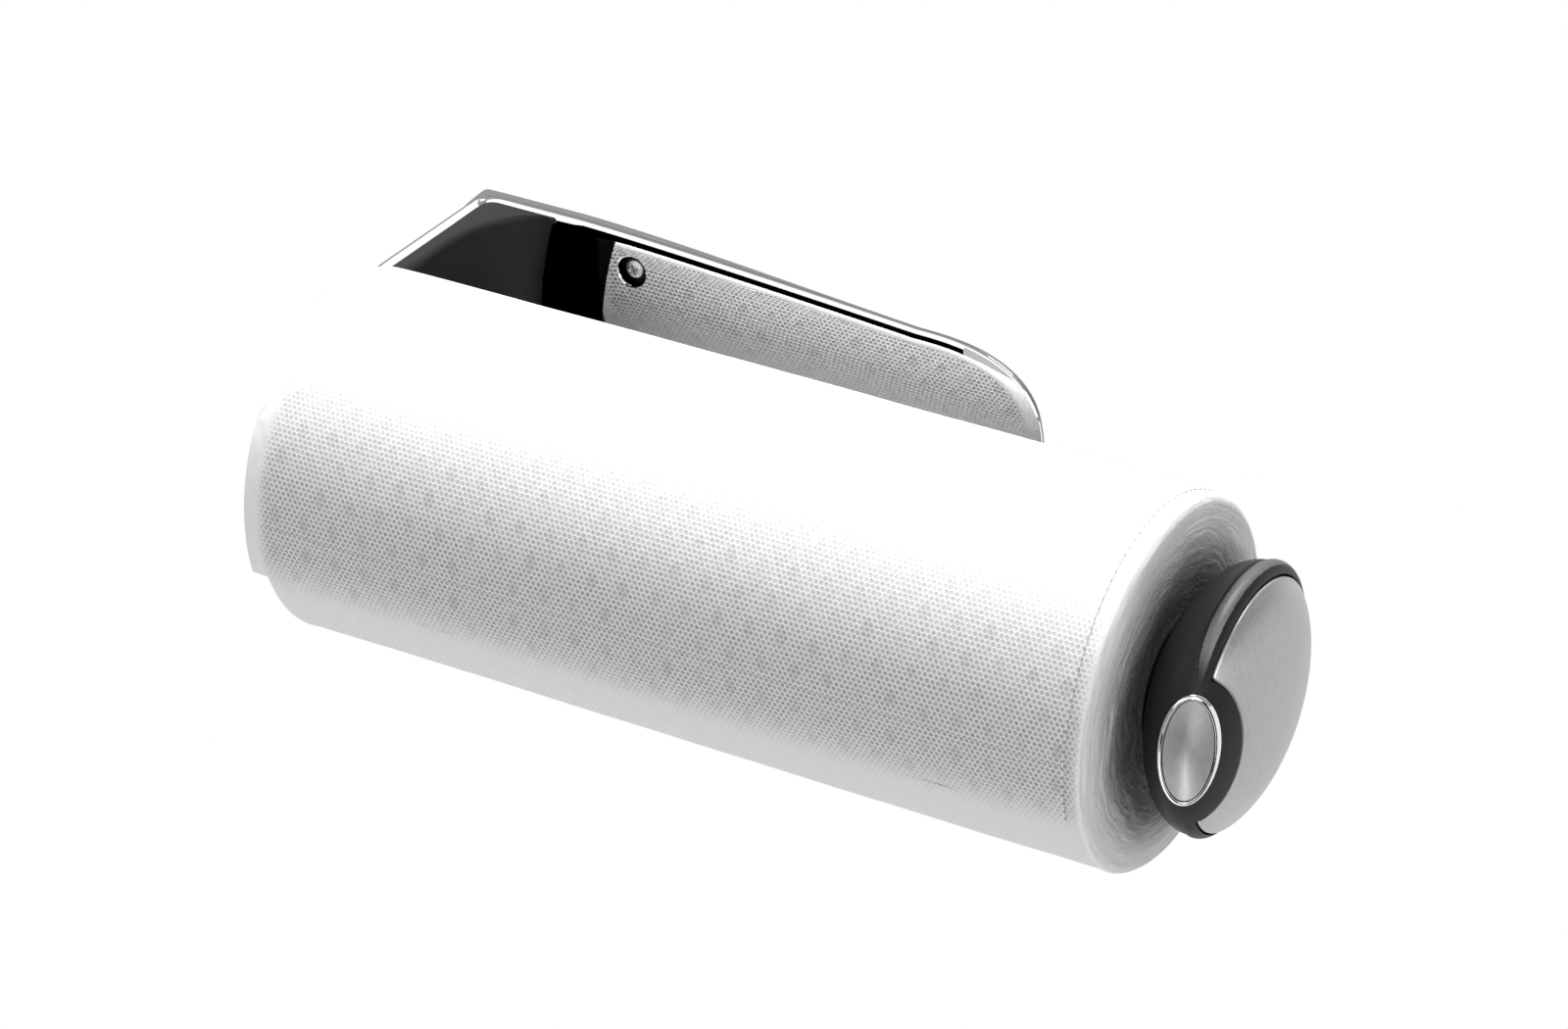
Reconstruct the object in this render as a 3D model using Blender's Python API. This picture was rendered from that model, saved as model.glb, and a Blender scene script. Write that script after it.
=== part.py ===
"""Wall-mounted paper towel holder with a roll, a push-button end knob and an L bracket.

Origin on the wall, level with the rod, at the middle of the roll. +X along the rod to the knob,
+Y into the wall, +Z up. Lengths are in metres.
"""
import math

import bmesh
import bpy
from mathutils import Vector

MM = 0.001
GAP = 0.3 * MM  # between neighbouring pieces

# rod and roll
AXIS_Y = -104.5 * MM  # rod's centre line, out from the wall
ROLL_HALF = 139.7 * MM  # half of an 11 inch roll
ROLL_R = 56.8 * MM
SHEET_T = 0.5 * MM
SHEET_SHIFT = -3.0 * MM  # the last turn is wound a little to the left
SHEET_TAIL = math.radians(-160.8)
SHEET_SPAN = math.radians(285)
ROLL_EDGE = 3.5 * MM
CORE_R_IN, CORE_R_OUT = 20.5 * MM, 22.0 * MM

# bracket
BAND_T = 3.2 * MM
PLATE_T = 3.4 * MM
BAND_FRONT = -(PLATE_T + GAP + BAND_T)  # Y of the mirror face
ARM_INNER_X = -155.1 * MM
BEND_IN = 4.3 * MM
HALF_H = 40.0 * MM
NOSE_X, NOSE_H, NOSE_POWER = 44.3 * MM, 33.0 * MM, 2.55
TAPER_X, TAPER_POWER = -123.0 * MM, 1.3
ARM_TAPER_Y = AXIS_Y + 46.0 * MM  # where the arm's oval end begins
ARM_NOSE = 71.0 * MM
BEVEL = [(2.1, 0.79), (4.6, 0.0)]  # mm, the mirror's bevel: inset from the edge and depth
BEVEL_DEEP, EDGE_R = 1.5, 1.6  # mm, below the face where it meets the rounded edge, and that edge
ARM_INSET = 0.35  # share of the bevel's width along the arm
LIP_X = -160.5 * MM
LIP_Y = -14.5 * MM
LIP_END_X = -158.9 * MM
LIP_SOFTEN = 12
PLATE_INSET, PLATE_NOSE_INSET = 0.5 * MM, 2.2 * MM  # at the corner and at the nose
SCREW_SPOTS = [(-101.6 * MM, 27.3 * MM), (-101.6 * MM, -27.3 * MM), (18 * MM, 0.0)]
RECESS_R = 5.2 * MM
SHANK_R = 1.8 * MM
HEAD_R, HEAD_H = 3.6 * MM, 2.0 * MM
WALL_SCREW_L = 15.5 * MM
BEND_X = ARM_INNER_X + BEND_IN
BEND_Y = BAND_FRONT - BEND_IN
BEND_LEN = math.pi / 2 * (BEND_IN + BAND_T / 2)

# arm liner
LINER_HALF = 39.3 * MM
LINER_FACE_X = -149.4 * MM
LINER_TOE_X, LINER_TOE_SWEEP = -135.8 * MM, 5.9 * MM
LINER_TOE_T = 0.7 * MM
FILLET_DROP = 35.3 * MM
LINER_ROUND = 2.0 * MM

# rod
FLANGE_R, FLANGE_T = 17.0 * MM, 3.0 * MM
ROD_R, ROD_WALL = 8.0 * MM, 1.5 * MM
ROD_END = 140.0 * MM
TIP_R, TIP_END = 4.6 * MM, 160.0 * MM
GROOVE_R, GROOVE_W = 3.4 * MM, 2.2 * MM
HUB_R, HUB_TIP_R, HUB_LEN = 19.0 * MM, 17.5 * MM, 14.0 * MM
COLLAR_R = 23.0 * MM

# knob, about its own centre
KNOB_X = 157.5 * MM
KNOB_UP = 1.3 * MM
KNOB_Y, KNOB_Z = 41.6 * MM, 40.0 * MM  # half sizes
KNOB_FRONT, KNOB_BACK = 14.6 * MM, 18.5 * MM  # half depths, away from the roll and toward it
KNOB_FLAT = -14.0 * MM  # flat back
CAP_T = 1.2 * MM
KNOB_WALL = 3.2 * MM
CAP_OUTLINE = (1.6 * MM, -0.35 * MM, 39.0 * MM, 37.85 * MM)  # centre y, z and half sizes
BITE = (-36.0 * MM, 1.8 * MM, 16.5 * MM, 25.0 * MM)  # centre y, z and half sizes
BEAD_H, BEAD_W = 1.2 * MM, 2.5 * MM
BEAD_LOW = 0.45  # share of the bead's height along the bottom
CAP_BACK = 0.6 * MM
BEAD_FADE = (math.radians(112), math.radians(142))
BACK_X = -13.4 * MM
COVER_R = 18.0 * MM
COVER_T = 2.2 * MM
SOCKET_R, SLEEVE_R = 4.9 * MM, 9.0 * MM
CLIP_X = -4.0 * MM
CLIP_WIRE = 0.6 * MM

# thumb button
PRESS = math.radians(21)
BUTTON_AT = Vector((3.7, -34.5, 4.2)) * MM
OUT = Vector((math.sin(PRESS), -math.cos(PRESS), 0))
SIDE = Vector((math.cos(PRESS), math.sin(PRESS), 0))
UP = Vector((0, 0, 1))
BEZEL = (8.7 * MM, 17.3 * MM)
BEZEL_W = 1.5 * MM
BEZEL_DEPTH = 3.6 * MM
DISH = (BEZEL[0] - BEZEL_W - GAP, BEZEL[1] - BEZEL_W - GAP)
DISH_T = 1.0 * MM
DISH_DEPTH = 4.4 * MM
PLUNGER_BACK = -10.5 * MM
SPRING_R, SPRING_WIRE, SPRING_TURNS = 5.4 * MM, 0.4 * MM, 4
SPRING_END = -18.6 * MM

SEG = 32
OVAL_SEG = 32


def material(name, colour, roughness, metallic):
    mat = bpy.data.materials.new(name)
    mat.use_nodes = True
    bsdf = mat.node_tree.nodes["Principled BSDF"]
    bsdf.inputs["Base Color"].default_value = (*colour, 1)
    bsdf.inputs["Roughness"].default_value = roughness
    bsdf.inputs["Metallic"].default_value = metallic
    mat.diffuse_color = (*colour, 1)
    mat.metallic, mat.roughness = metallic, roughness
    return mat


def finish(bm, name, mat=None, at=(0, 0, 0), sharp=35):
    """Turn a bmesh into an object with outward faces and smooth round sides."""
    bmesh.ops.remove_doubles(bm, verts=bm.verts, dist=1e-7)
    bmesh.ops.recalc_face_normals(bm, faces=bm.faces)
    for face in bm.faces:
        face.smooth = True
    for edge in bm.edges:
        if len(edge.link_faces) == 2 and edge.calc_face_angle(0) > math.radians(sharp):
            edge.smooth = False
    mesh = bpy.data.meshes.new(name)
    bm.to_mesh(mesh)
    bm.free()
    obj = bpy.data.objects.new(name, mesh)
    obj.location = at
    bpy.context.scene.collection.objects.link(obj)
    if mat:
        mesh.materials.append(mat)
    else:
        obj.hide_render = True
        obj.display_type = "WIRE"
    return obj


def add_rings(bm, rings, closed=False, caps=True):
    """Skin a list of rings, each a list of points. A ring of one point is a tip."""
    made = [[bm.verts.new(p) for p in ring] for ring in rings]
    pairs = list(zip(made, made[1:]))
    if closed:
        pairs.append((made[-1], made[0]))
    for a, b in pairs:
        if len(a) == 1 and len(b) == 1:
            continue
        n = max(len(a), len(b))
        for i in range(n):
            j = (i + 1) % n
            if len(a) == 1:
                bm.faces.new((a[0], b[j], b[i]))
            elif len(b) == 1:
                bm.faces.new((a[i], a[j], b[0]))
            else:
                bm.faces.new((a[i], a[j], b[j], b[i]))
    if caps and not closed:
        for ring in (made[0], made[-1]):
            if len(ring) > 1:
                bm.faces.new(ring)
    return made


def circle(x, r, segments=SEG):
    if r == 0:
        return [Vector((x, 0, 0))]
    step = 2 * math.pi / segments
    return [Vector((x, r * math.cos(i * step), r * math.sin(i * step))) for i in range(segments)]


def lathe(name, profile, mat=None, at=(0, 0, 0), segments=SEG):
    """Round piece about X. The profile is a loop of (x, radius), open where it meets the axis."""
    bm = bmesh.new()
    on_axis = profile[0][1] == 0
    add_rings(bm, [circle(x, r, segments) for x, r in profile], closed=not on_axis)
    return finish(bm, name, mat, at)


def box(name, low, high, mat=None, at=(0, 0, 0)):
    bm = bmesh.new()
    (x0, y0, z0), (x1, y1, z1) = low, high
    add_rings(bm, [[(x, y0, z0), (x, y1, z0), (x, y1, z1), (x, y0, z1)] for x in (x0, x1)])
    return finish(bm, name, mat, at)


def cylinder_y(bm, x, z, radius, y0, y1, segments=24):
    step = 2 * math.pi / segments
    add_rings(bm, [[(x + radius * math.cos(i * step), y, z + radius * math.sin(i * step))
                    for i in range(segments)] for y in (y0, y1)])


def boolean(obj, tool, operation="DIFFERENCE"):
    mod = obj.modifiers.new(tool.name, "BOOLEAN")
    mod.object = tool
    mod.operation = operation
    mod.solver = "EXACT"


def cut_screw_holes(obj, radius, y0, y1, name):
    bm = bmesh.new()
    for x, z in SCREW_SPOTS:
        cylinder_y(bm, x, z, radius, y0, y1)
    boolean(obj, finish(bm, name))


# ---------------------------------------------------------------- bracket
def top_edge(x):
    """Half height of the wall plate at x."""
    if x >= 0:
        return NOSE_H * max(0.0, 1 - (x / NOSE_X) ** NOSE_POWER) ** (1 / NOSE_POWER)
    if x <= TAPER_X:
        return HALF_H
    return NOSE_H + (HALF_H - NOSE_H) * (1 - (1 - x / TAPER_X) ** TAPER_POWER)


def strip_outline(end):
    """Half outline of the strip laid flat: u runs from the nose to the arm."""
    half = []
    for i in range(1, 15):
        a = i / 14 * math.pi / 2
        half.append((-NOSE_X * math.cos(a) ** (2 / NOSE_POWER), NOSE_H * math.sin(a) ** (2 / NOSE_POWER)))
    for i in range(1, 13):
        x = TAPER_X * i / 12
        half.append((-x, top_edge(x)))
    return half + end


def flat_strip(end_points, closing, layers):
    """Closed slab from a half outline: mirrored about z = 0, one ring for each (inset, t)."""
    half = strip_outline(end_points)
    outline = [(-NOSE_X, 0.0)] + half + closing + [(u, -z) for u, z in reversed(half)]
    n = len(outline)
    normals = []
    for i in range(n):
        p, q, r = (Vector(outline[(i + k) % n]) for k in (-1, 0, 1))
        a, b = (q - p).normalized(), (r - q).normalized()
        na, nb = Vector((a.y, -a.x)), Vector((b.y, -b.x))
        normals.append((na + nb) / (1 + na.dot(nb)))
    bm = bmesh.new()
    add_rings(bm, [[(u + inset(u) * m.x, t, z + inset(u) * m.y)
                    for (u, z), m in zip(outline, normals)] for inset, t in layers])
    return bm


def bevel_inset(width):
    """Width of the bevel at u: full along the wall and narrower along the arm."""
    return lambda u: width * (1 - (1 - ARM_INSET) * min(1.0, max(0.0, (u + BEND_X) / BEND_LEN)))


def plate_inset(u):
    s = min(1.0, max(0.0, 1 + u / TAPER_X))
    return PLATE_INSET + (PLATE_NOSE_INSET - PLATE_INSET) * s * s * (3 - 2 * s)


def bend_strip(bm, place, stations):
    for u in stations:
        bmesh.ops.bisect_plane(bm, geom=bm.verts[:] + bm.edges[:] + bm.faces[:],
                               plane_co=(u, 0, 0), plane_no=(1, 0, 0))
    bmesh.ops.triangulate(bm, faces=bm.faces)
    for v in bm.verts:
        x, y = place(v.co.x, v.co.y)
        v.co.x, v.co.y = x, y


def band_place(u, t):
    """Flat strip to L: t is the depth behind the mirror face."""
    r = BEND_IN + t
    along = u + BEND_X
    if along <= 0:
        return -u, BAND_FRONT + t
    if along < BEND_LEN:
        a = along / BEND_LEN * math.pi / 2
        return BEND_X - r * math.sin(a), BEND_Y + r * math.cos(a)
    return BEND_X - r, BEND_Y - (along - BEND_LEN)


def plate_place(u, t):
    """Back plate: t = 0 follows the band's outside, t = 1 is the square wall side."""
    r = BEND_IN + BAND_T + GAP
    along = u + BEND_X
    slope = (LIP_END_X - LIP_X) / LIP_Y
    if along <= 0:
        return -u, -PLATE_T * (1 - t)
    if along < BEND_LEN:
        a = along / BEND_LEN * math.pi / 2
        side = (math.sin(a) + slope * math.cos(a)) / (BEND_X - LIP_X - slope * BEND_Y)
        wall = math.cos(a) / -BEND_Y
        reach = (max(side, 0.0) ** LIP_SOFTEN + wall ** LIP_SOFTEN) ** (-1 / LIP_SOFTEN)
        r += (reach - r) * t
        return BEND_X - r * math.sin(a), BEND_Y + r * math.cos(a)
    y = BEND_Y - (along - BEND_LEN)
    r += (BEND_X - LIP_X - slope * y - r) * t
    return BEND_X - r, y


def bend_stations():
    corner = math.atan2(BEND_X - LIP_X, -BEND_Y) / (math.pi / 2)
    parts = sorted([i / 6 for i in range(7)] + [corner - 0.05, corner, corner + 0.05])
    return [-BEND_X + BEND_LEN * k for k in parts]


def make_bracket(mats):
    arm_u = -BEND_X + BEND_LEN + (BEND_Y - ARM_TAPER_Y)
    steps = 18
    arm_round = [(arm_u + ARM_NOSE * math.sin(i / steps * math.pi / 2),
                  HALF_H * math.cos(i / steps * math.pi / 2)) for i in range(steps)]
    edge = [(0.0, BAND_T / MM)]
    for degrees in (90, 70, 50, 30):
        a = math.radians(degrees)
        edge.append((EDGE_R * (1 - math.sin(a)), BEVEL_DEEP + EDGE_R * (math.cos(math.radians(30)) - math.cos(a))))
    layers = [(bevel_inset(inset * MM), depth * MM) for inset, depth in edge + BEVEL]
    bm = flat_strip(arm_round, [(arm_u + ARM_NOSE, 0.0)], layers)
    bend_strip(bm, band_place, bend_stations())
    band = finish(bm, "bracket_band", mats["mirror"])
    cut_screw_holes(band, RECESS_R, BAND_FRONT - MM, -PLATE_T, "recess_cut")

    lip_u = -BEND_X + BEND_LEN + (BEND_Y - LIP_Y)
    bm = flat_strip([(lip_u, HALF_H)], [], [(plate_inset, 0.0), (plate_inset, 1.0)])
    bend_strip(bm, plate_place, bend_stations())
    plate = finish(bm, "wall_plate", mats["satin"])
    cut_screw_holes(plate, SHANK_R + GAP, -PLATE_T - MM, MM, "shank_cut")

    # flange screws go into blind holes in the arm
    bm = bmesh.new()
    for y, z in flange_spots():
        add_rings(bm, [[(x, y + 1.7 * MM * math.cos(k * math.pi / 6),
                         z + 1.7 * MM * math.sin(k * math.pi / 6)) for k in range(12)]
                       for x in (ARM_INNER_X + MM, ARM_INNER_X - 2.2 * MM)])
    boolean(band, finish(bm, "flange_hole_cut"))
    return band, plate


def flange_spots():
    return [(AXIS_Y + 12.3 * MM * math.cos(a), 12.3 * MM * math.sin(a))
            for a in (math.pi / 2, math.pi / 2 + math.tau / 3, math.pi / 2 + 2 * math.tau / 3)]


def add_cross_slot(bm_cut, centre, axis, size, depth):
    """Two crossing bars for a driver slot, on the face whose outward normal is the axis."""
    axis = Vector(axis)
    across = Vector((0, 0, 1))
    other = axis.cross(across)
    thick = size / 4
    arm = [(-size, -thick), (-thick, -thick), (-thick, -size), (thick, -size), (thick, -thick),
           (size, -thick), (size, thick), (thick, thick), (thick, size), (-thick, size),
           (-thick, thick), (-size, thick)]
    rings = []
    for d, scale in ((MM, 1.0), (-depth, 0.75)):
        rings.append([Vector(centre) + axis * d + across * (p * scale) + other * (q * scale)
                      for p, q in arm])
    add_rings(bm_cut, rings)


def make_screws(name, seats, axis, head_r, head_h, shank_r, length, mat, slot, sides=12):
    """Pan-head screws, numbered. A seat is the point under a head; the axis points out of it."""
    axis = Vector(axis)
    across = Vector((0, 0, 1))
    other = axis.cross(across)
    profile = [(head_h, 0.0), (head_h, head_r * 0.6), (head_h * 0.6, head_r * 0.96),
               (0.0, head_r), (0.0, shank_r), (-length * 0.85, shank_r), (-length, 0.0)]
    for number, seat in enumerate(seats, 1):
        body, slots = bmesh.new(), bmesh.new()
        rings = []
        for d, r in profile:
            if r == 0:
                rings.append([axis * d])
                continue
            rings.append([axis * d + across * (r * math.cos(k * math.tau / sides))
                          + other * (r * math.sin(k * math.tau / sides)) for k in range(sides)])
        add_rings(body, rings)
        add_cross_slot(slots, axis * head_h, axis, slot, head_h * 0.6)
        obj = finish(body, f"{name}_{number}", mat, seat)
        boolean(obj, finish(slots, f"{name}_{number}_slot_cut", at=seat))


# ---------------------------------------------------------------- arm liner
def liner_ring(z):
    """Plan outline of the liner at height z."""
    at = abs(z)
    ease = max(0.0, at - (LINER_HALF - LINER_ROUND)) / LINER_ROUND
    pull = LINER_ROUND * (1 - math.sqrt(max(0.0, 1 - ease * ease)))
    face_x = LINER_FACE_X - pull
    toe_x = LINER_TOE_X + LINER_TOE_SWEEP * (z / LINER_HALF) ** 2 - pull
    plate_y = BAND_FRONT - GAP
    toe_y = plate_y - LINER_TOE_T
    end_y = ARM_TAPER_Y - (ARM_NOSE - 0.7 * MM) * math.sqrt(max(0.0, 1 - (z / LINER_HALF) ** 2))
    back_x = ARM_INNER_X + GAP
    points = [(back_x, end_y)]
    r = BEND_IN - GAP
    for i in range(7):
        a = i / 6 * math.pi / 2
        points.append((BEND_X - r * math.cos(a), BEND_Y + r * math.sin(a)))
    points.append((toe_x, plate_y))
    for i in range(11):
        a = i / 10 * math.pi / 2
        points.append((toe_x - (toe_x - face_x) * math.sin(a),
                       toe_y - FILLET_DROP * (1 - math.cos(a))))
    for i in range(4):
        a = i / 3 * math.pi / 2
        points.append((face_x - LINER_ROUND * (1 - math.cos(a)),
                       end_y + LINER_ROUND * (1 - math.sin(a))))
    return [(x, y, z) for x, y in points]


def make_liner(mats):
    steps = 24
    heights = [LINER_HALF * math.sin(math.pi * (i / steps - 0.5)) for i in range(steps + 1)]
    bm = bmesh.new()
    made = add_rings(bm, [liner_ring(z) for z in heights])
    liner = finish(bm, "arm_liner", mats["dark"])
    deep = ARM_INNER_X + FLANGE_T + 2 * GAP + 1.9 * MM
    pocket = lathe("flange_pocket_cut", [(ARM_INNER_X - MM, 0), (ARM_INNER_X - MM, FLANGE_R + GAP),
                                         (deep, FLANGE_R + GAP), (deep, ROD_R + GAP),
                                         (LINER_FACE_X + MM, ROD_R + GAP), (LINER_FACE_X + MM, 0)],
                   at=(0, AXIS_Y, 0), segments=48)
    boolean(liner, pocket)
    return liner


# ---------------------------------------------------------------- rod
def make_rod(mats):
    at = (0, AXIS_Y, 0)
    x0 = ARM_INNER_X + GAP
    x1 = x0 + FLANGE_T
    flange = lathe("rod_flange", [(x0, 0), (x0, FLANGE_R), (x1 - 0.5 * MM, FLANGE_R),
                                  (x1, FLANGE_R - 0.5 * MM), (x1, 0)], mats["satin"], at, 32)
    bm = bmesh.new()
    for y, z in flange_spots():
        add_rings(bm, [[(x, y + 1.7 * MM * math.cos(k * math.pi / 6),
                         z + 1.7 * MM * math.sin(k * math.pi / 6)) for k in range(12)]
                       for x in (x0 - MM, x1 + MM)])
    boolean(flange, finish(bm, "flange_cut"))
    make_screws("flange_screw", [(x1 + GAP, y, z) for y, z in flange_spots()], (1, 0, 0),
                2.9 * MM, 1.5 * MM, 1.4 * MM, FLANGE_T + 1.9 * MM, mats["screw"], 1.6 * MM)
    a, b = x1 + GAP, ROD_END
    bore = ROD_R - ROD_WALL
    lathe("rod_tube", [(a, bore), (a, ROD_R), (b - 0.4 * MM, ROD_R), (b, ROD_R - 0.4 * MM),
                       (b, bore)], mats["rod"], at, 48)
    plug = bore - GAP
    groove = KNOB_X + CLIP_X
    g0, g1 = groove - GROOVE_W / 2, groove + GROOVE_W / 2
    neck = b + GAP + 1.4 * MM
    lathe("rod_tip", [(b - 22 * MM, 0), (b - 22 * MM, plug - MM), (b - 21 * MM, plug),
                      (b + GAP, plug), (b + GAP, ROD_R), (neck, ROD_R), (neck, TIP_R),
                      (g0, TIP_R), (g0, GROOVE_R), (g1, GROOVE_R), (g1, TIP_R),
                      (TIP_END - 2.2 * MM, TIP_R), (TIP_END, TIP_R - 2 * MM), (TIP_END, 0)],
          mats["satin"], at, 24)
    h0 = LINER_FACE_X + GAP
    c0 = -ROLL_HALF - 3.5 * MM
    c1 = c0 + 2.6 * MM
    h1 = -ROLL_HALF + HUB_LEN
    lathe("left_hub", [(h0, ROD_R + GAP), (h0, HUB_R), (c0, HUB_R), (c0, COLLAR_R),
                       (c1, COLLAR_R), (c1, HUB_R), (h1 - 3 * MM, HUB_R), (h1, HUB_TIP_R),
                       (h1, ROD_R + GAP)], mats["dark"], at)


# ---------------------------------------------------------------- roll
def make_roll(mats):
    at = (0, AXIS_Y, 0)
    h = ROLL_HALF
    core = lathe("core_tube", [(-h, CORE_R_IN), (-h, CORE_R_OUT), (h, CORE_R_OUT), (h, CORE_R_IN)],
                 mats["card"], at)
    inner = CORE_R_OUT + GAP
    outer = ROLL_R - SHEET_T - GAP
    edge = []
    for i in range(4):
        a = i / 3 * math.pi / 2
        edge.append((h - ROLL_EDGE * (1 - math.sin(a)), outer - ROLL_EDGE * (1 - math.cos(a))))
    profile = [(-h, inner)] + [(-x, r) for x, r in reversed(edge)] + edge + [(h, inner)]
    paper = lathe("paper_roll", profile, mats["paper"], at, 48)

    bm = bmesh.new()
    steps = 46
    rings = []
    for i in range(steps + 1):
        a = SHEET_TAIL - SHEET_SPAN * i / steps
        c, s = math.cos(a), math.sin(a)
        shift = SHEET_SHIFT * min(1.0, max(0.0, (0.7 - i / steps) / 0.3))
        left, right = -h + shift, h - ROLL_EDGE + shift
        rings.append([(x, r * c, r * s) for x, r in ((left, ROLL_R - SHEET_T), (left, ROLL_R),
                                                     (right, ROLL_R), (right, ROLL_R - SHEET_T))])
    add_rings(bm, rings)
    sheet = finish(bm, "outer_sheet", mats["paper"], at)
    return [core, paper, sheet]


# ---------------------------------------------------------------- knob
def bead_rows():
    """Polar angles of the body's rings, close together across the bead."""
    first = math.acos(-KNOB_FLAT / KNOB_BACK)
    centres = [bead_centre(math.tau * k / 40) for k in range(40)]
    low, high = min(centres) - BEAD_W, max(centres) + BEAD_W
    across = [math.acos(-(low + (high - low) * k / 11) / KNOB_FRONT) for k in range(12)]
    back = [first + (across[0] - first) * i / 5 for i in range(5)]
    front = [across[-1] + (math.pi - across[-1]) * i / 4 for i in range(1, 5)]
    return back + across + front


def pebble(name, inset, mat=None, bead=False, rows=16, segments=40):
    """Rounded body about X with a flat back, shrunk by the inset, and with a bead along its rim."""
    first = math.acos(-(KNOB_FLAT + inset) / (KNOB_BACK - inset))
    angles = bead_rows() if bead else [first + (math.pi - first) * i / rows for i in range(rows + 1)]
    rings = []
    for t in angles:
        depth = (KNOB_BACK if math.cos(t) > 0 else KNOB_FRONT) - inset
        half = Vector((depth, KNOB_Y - inset, KNOB_Z - inset))
        if t == angles[-1]:
            rings.append([Vector((depth, 0, KNOB_UP))])
            continue
        ring = []
        for k in range(segments):
            a = math.tau * k / segments
            p = Vector((-half.x * math.cos(t), half.y * math.sin(t) * math.cos(a),
                        half.z * math.sin(t) * math.sin(a)))
            if bead:
                n = Vector((p.x / half.x ** 2, p.y / half.y ** 2, p.z / half.z ** 2)).normalized()
                p += n * bead_height(p, a)
            ring.append(p + Vector((0, 0, KNOB_UP)))
        rings.append(ring)
    bm = bmesh.new()
    add_rings(bm, rings)
    return finish(bm, name, mat, (KNOB_X, AXIS_Y, 0))


def bead_centre(a):
    """Where the bead's middle runs at angle a: just behind the cap's edge."""
    cy, cz, half_y, half_z = CAP_OUTLINE
    dy, dz = math.cos(a) / half_y, math.sin(a) / half_z
    oy, oz = -cy / half_y, (KNOB_UP - cz) / half_z
    qa, qb, qc = dy * dy + dz * dz, oy * dy + oz * dz, oy * oy + oz * oz - 1
    r = (-qb + math.sqrt(qb * qb - qa * qc)) / qa
    rest = 1 - (r * math.cos(a) / KNOB_Y) ** 2 - (r * math.sin(a) / KNOB_Z) ** 2
    return KNOB_FRONT * math.sqrt(max(0.0, rest)) - GAP - BEAD_W


def bead_height(p, a):
    """The bead is an arc in section. It fades out toward the front and is lower underneath."""
    turn = abs(math.remainder(a, math.tau))
    fade = min(1.0, max(0.0, (BEAD_FADE[1] - turn) / (BEAD_FADE[1] - BEAD_FADE[0])))
    share = fade * (2 - fade) * (1 - (1 - BEAD_LOW) * max(0.0, -math.sin(a)) ** 0.5)
    across = (p.x - bead_centre(a)) / BEAD_W
    if abs(across) >= 1:
        return 0.0
    r = (BEAD_W ** 2 + BEAD_H ** 2) / (2 * BEAD_H)
    return share * (math.sqrt(r * r - (across * BEAD_W) ** 2) - (r - BEAD_H))


def ellipse_prism(name, centre_y, centre_z, half_y, half_z, x0, x1, mat=None):
    bm = bmesh.new()
    n = 48
    add_rings(bm, [[(x, centre_y + half_y * math.cos(k * math.tau / n),
                     centre_z + half_z * math.sin(k * math.tau / n)) for k in range(n)]
                   for x in (x0, x1)])
    return finish(bm, name, mat, (KNOB_X, AXIS_Y, 0))


def surface_rise(point):
    """How far along OUT the pebble's surface is from a point inside it."""
    p = Vector(point) - Vector((0, 0, KNOB_UP))
    for depth in (KNOB_BACK, KNOB_FRONT):
        o = Vector((p.x / depth, p.y / KNOB_Y, p.z / KNOB_Z))
        d = Vector((OUT.x / depth, OUT.y / KNOB_Y, OUT.z / KNOB_Z))
        a, b, c = d.dot(d), o.dot(d), o.dot(o) - 1
        rise = (-b + math.sqrt(max(0.0, b * b - a * c))) / a
        if p.x + OUT.x * rise <= 0:
            return rise
    return rise


def oval_ring(half, depth, follow, n=OVAL_SEG):
    """Ring of the button's oval, at a depth along OUT. follow = 1 keeps to the pebble's surface."""
    ring = []
    for k in range(n):
        a = math.tau * k / n
        p = BUTTON_AT + SIDE * (half[0] * math.cos(a)) + UP * (half[1] * math.sin(a))
        ring.append(p + OUT * (surface_rise(p) * follow + depth))
    return ring


def grown(half, by):
    return half[0] + by, half[1] + by


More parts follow.
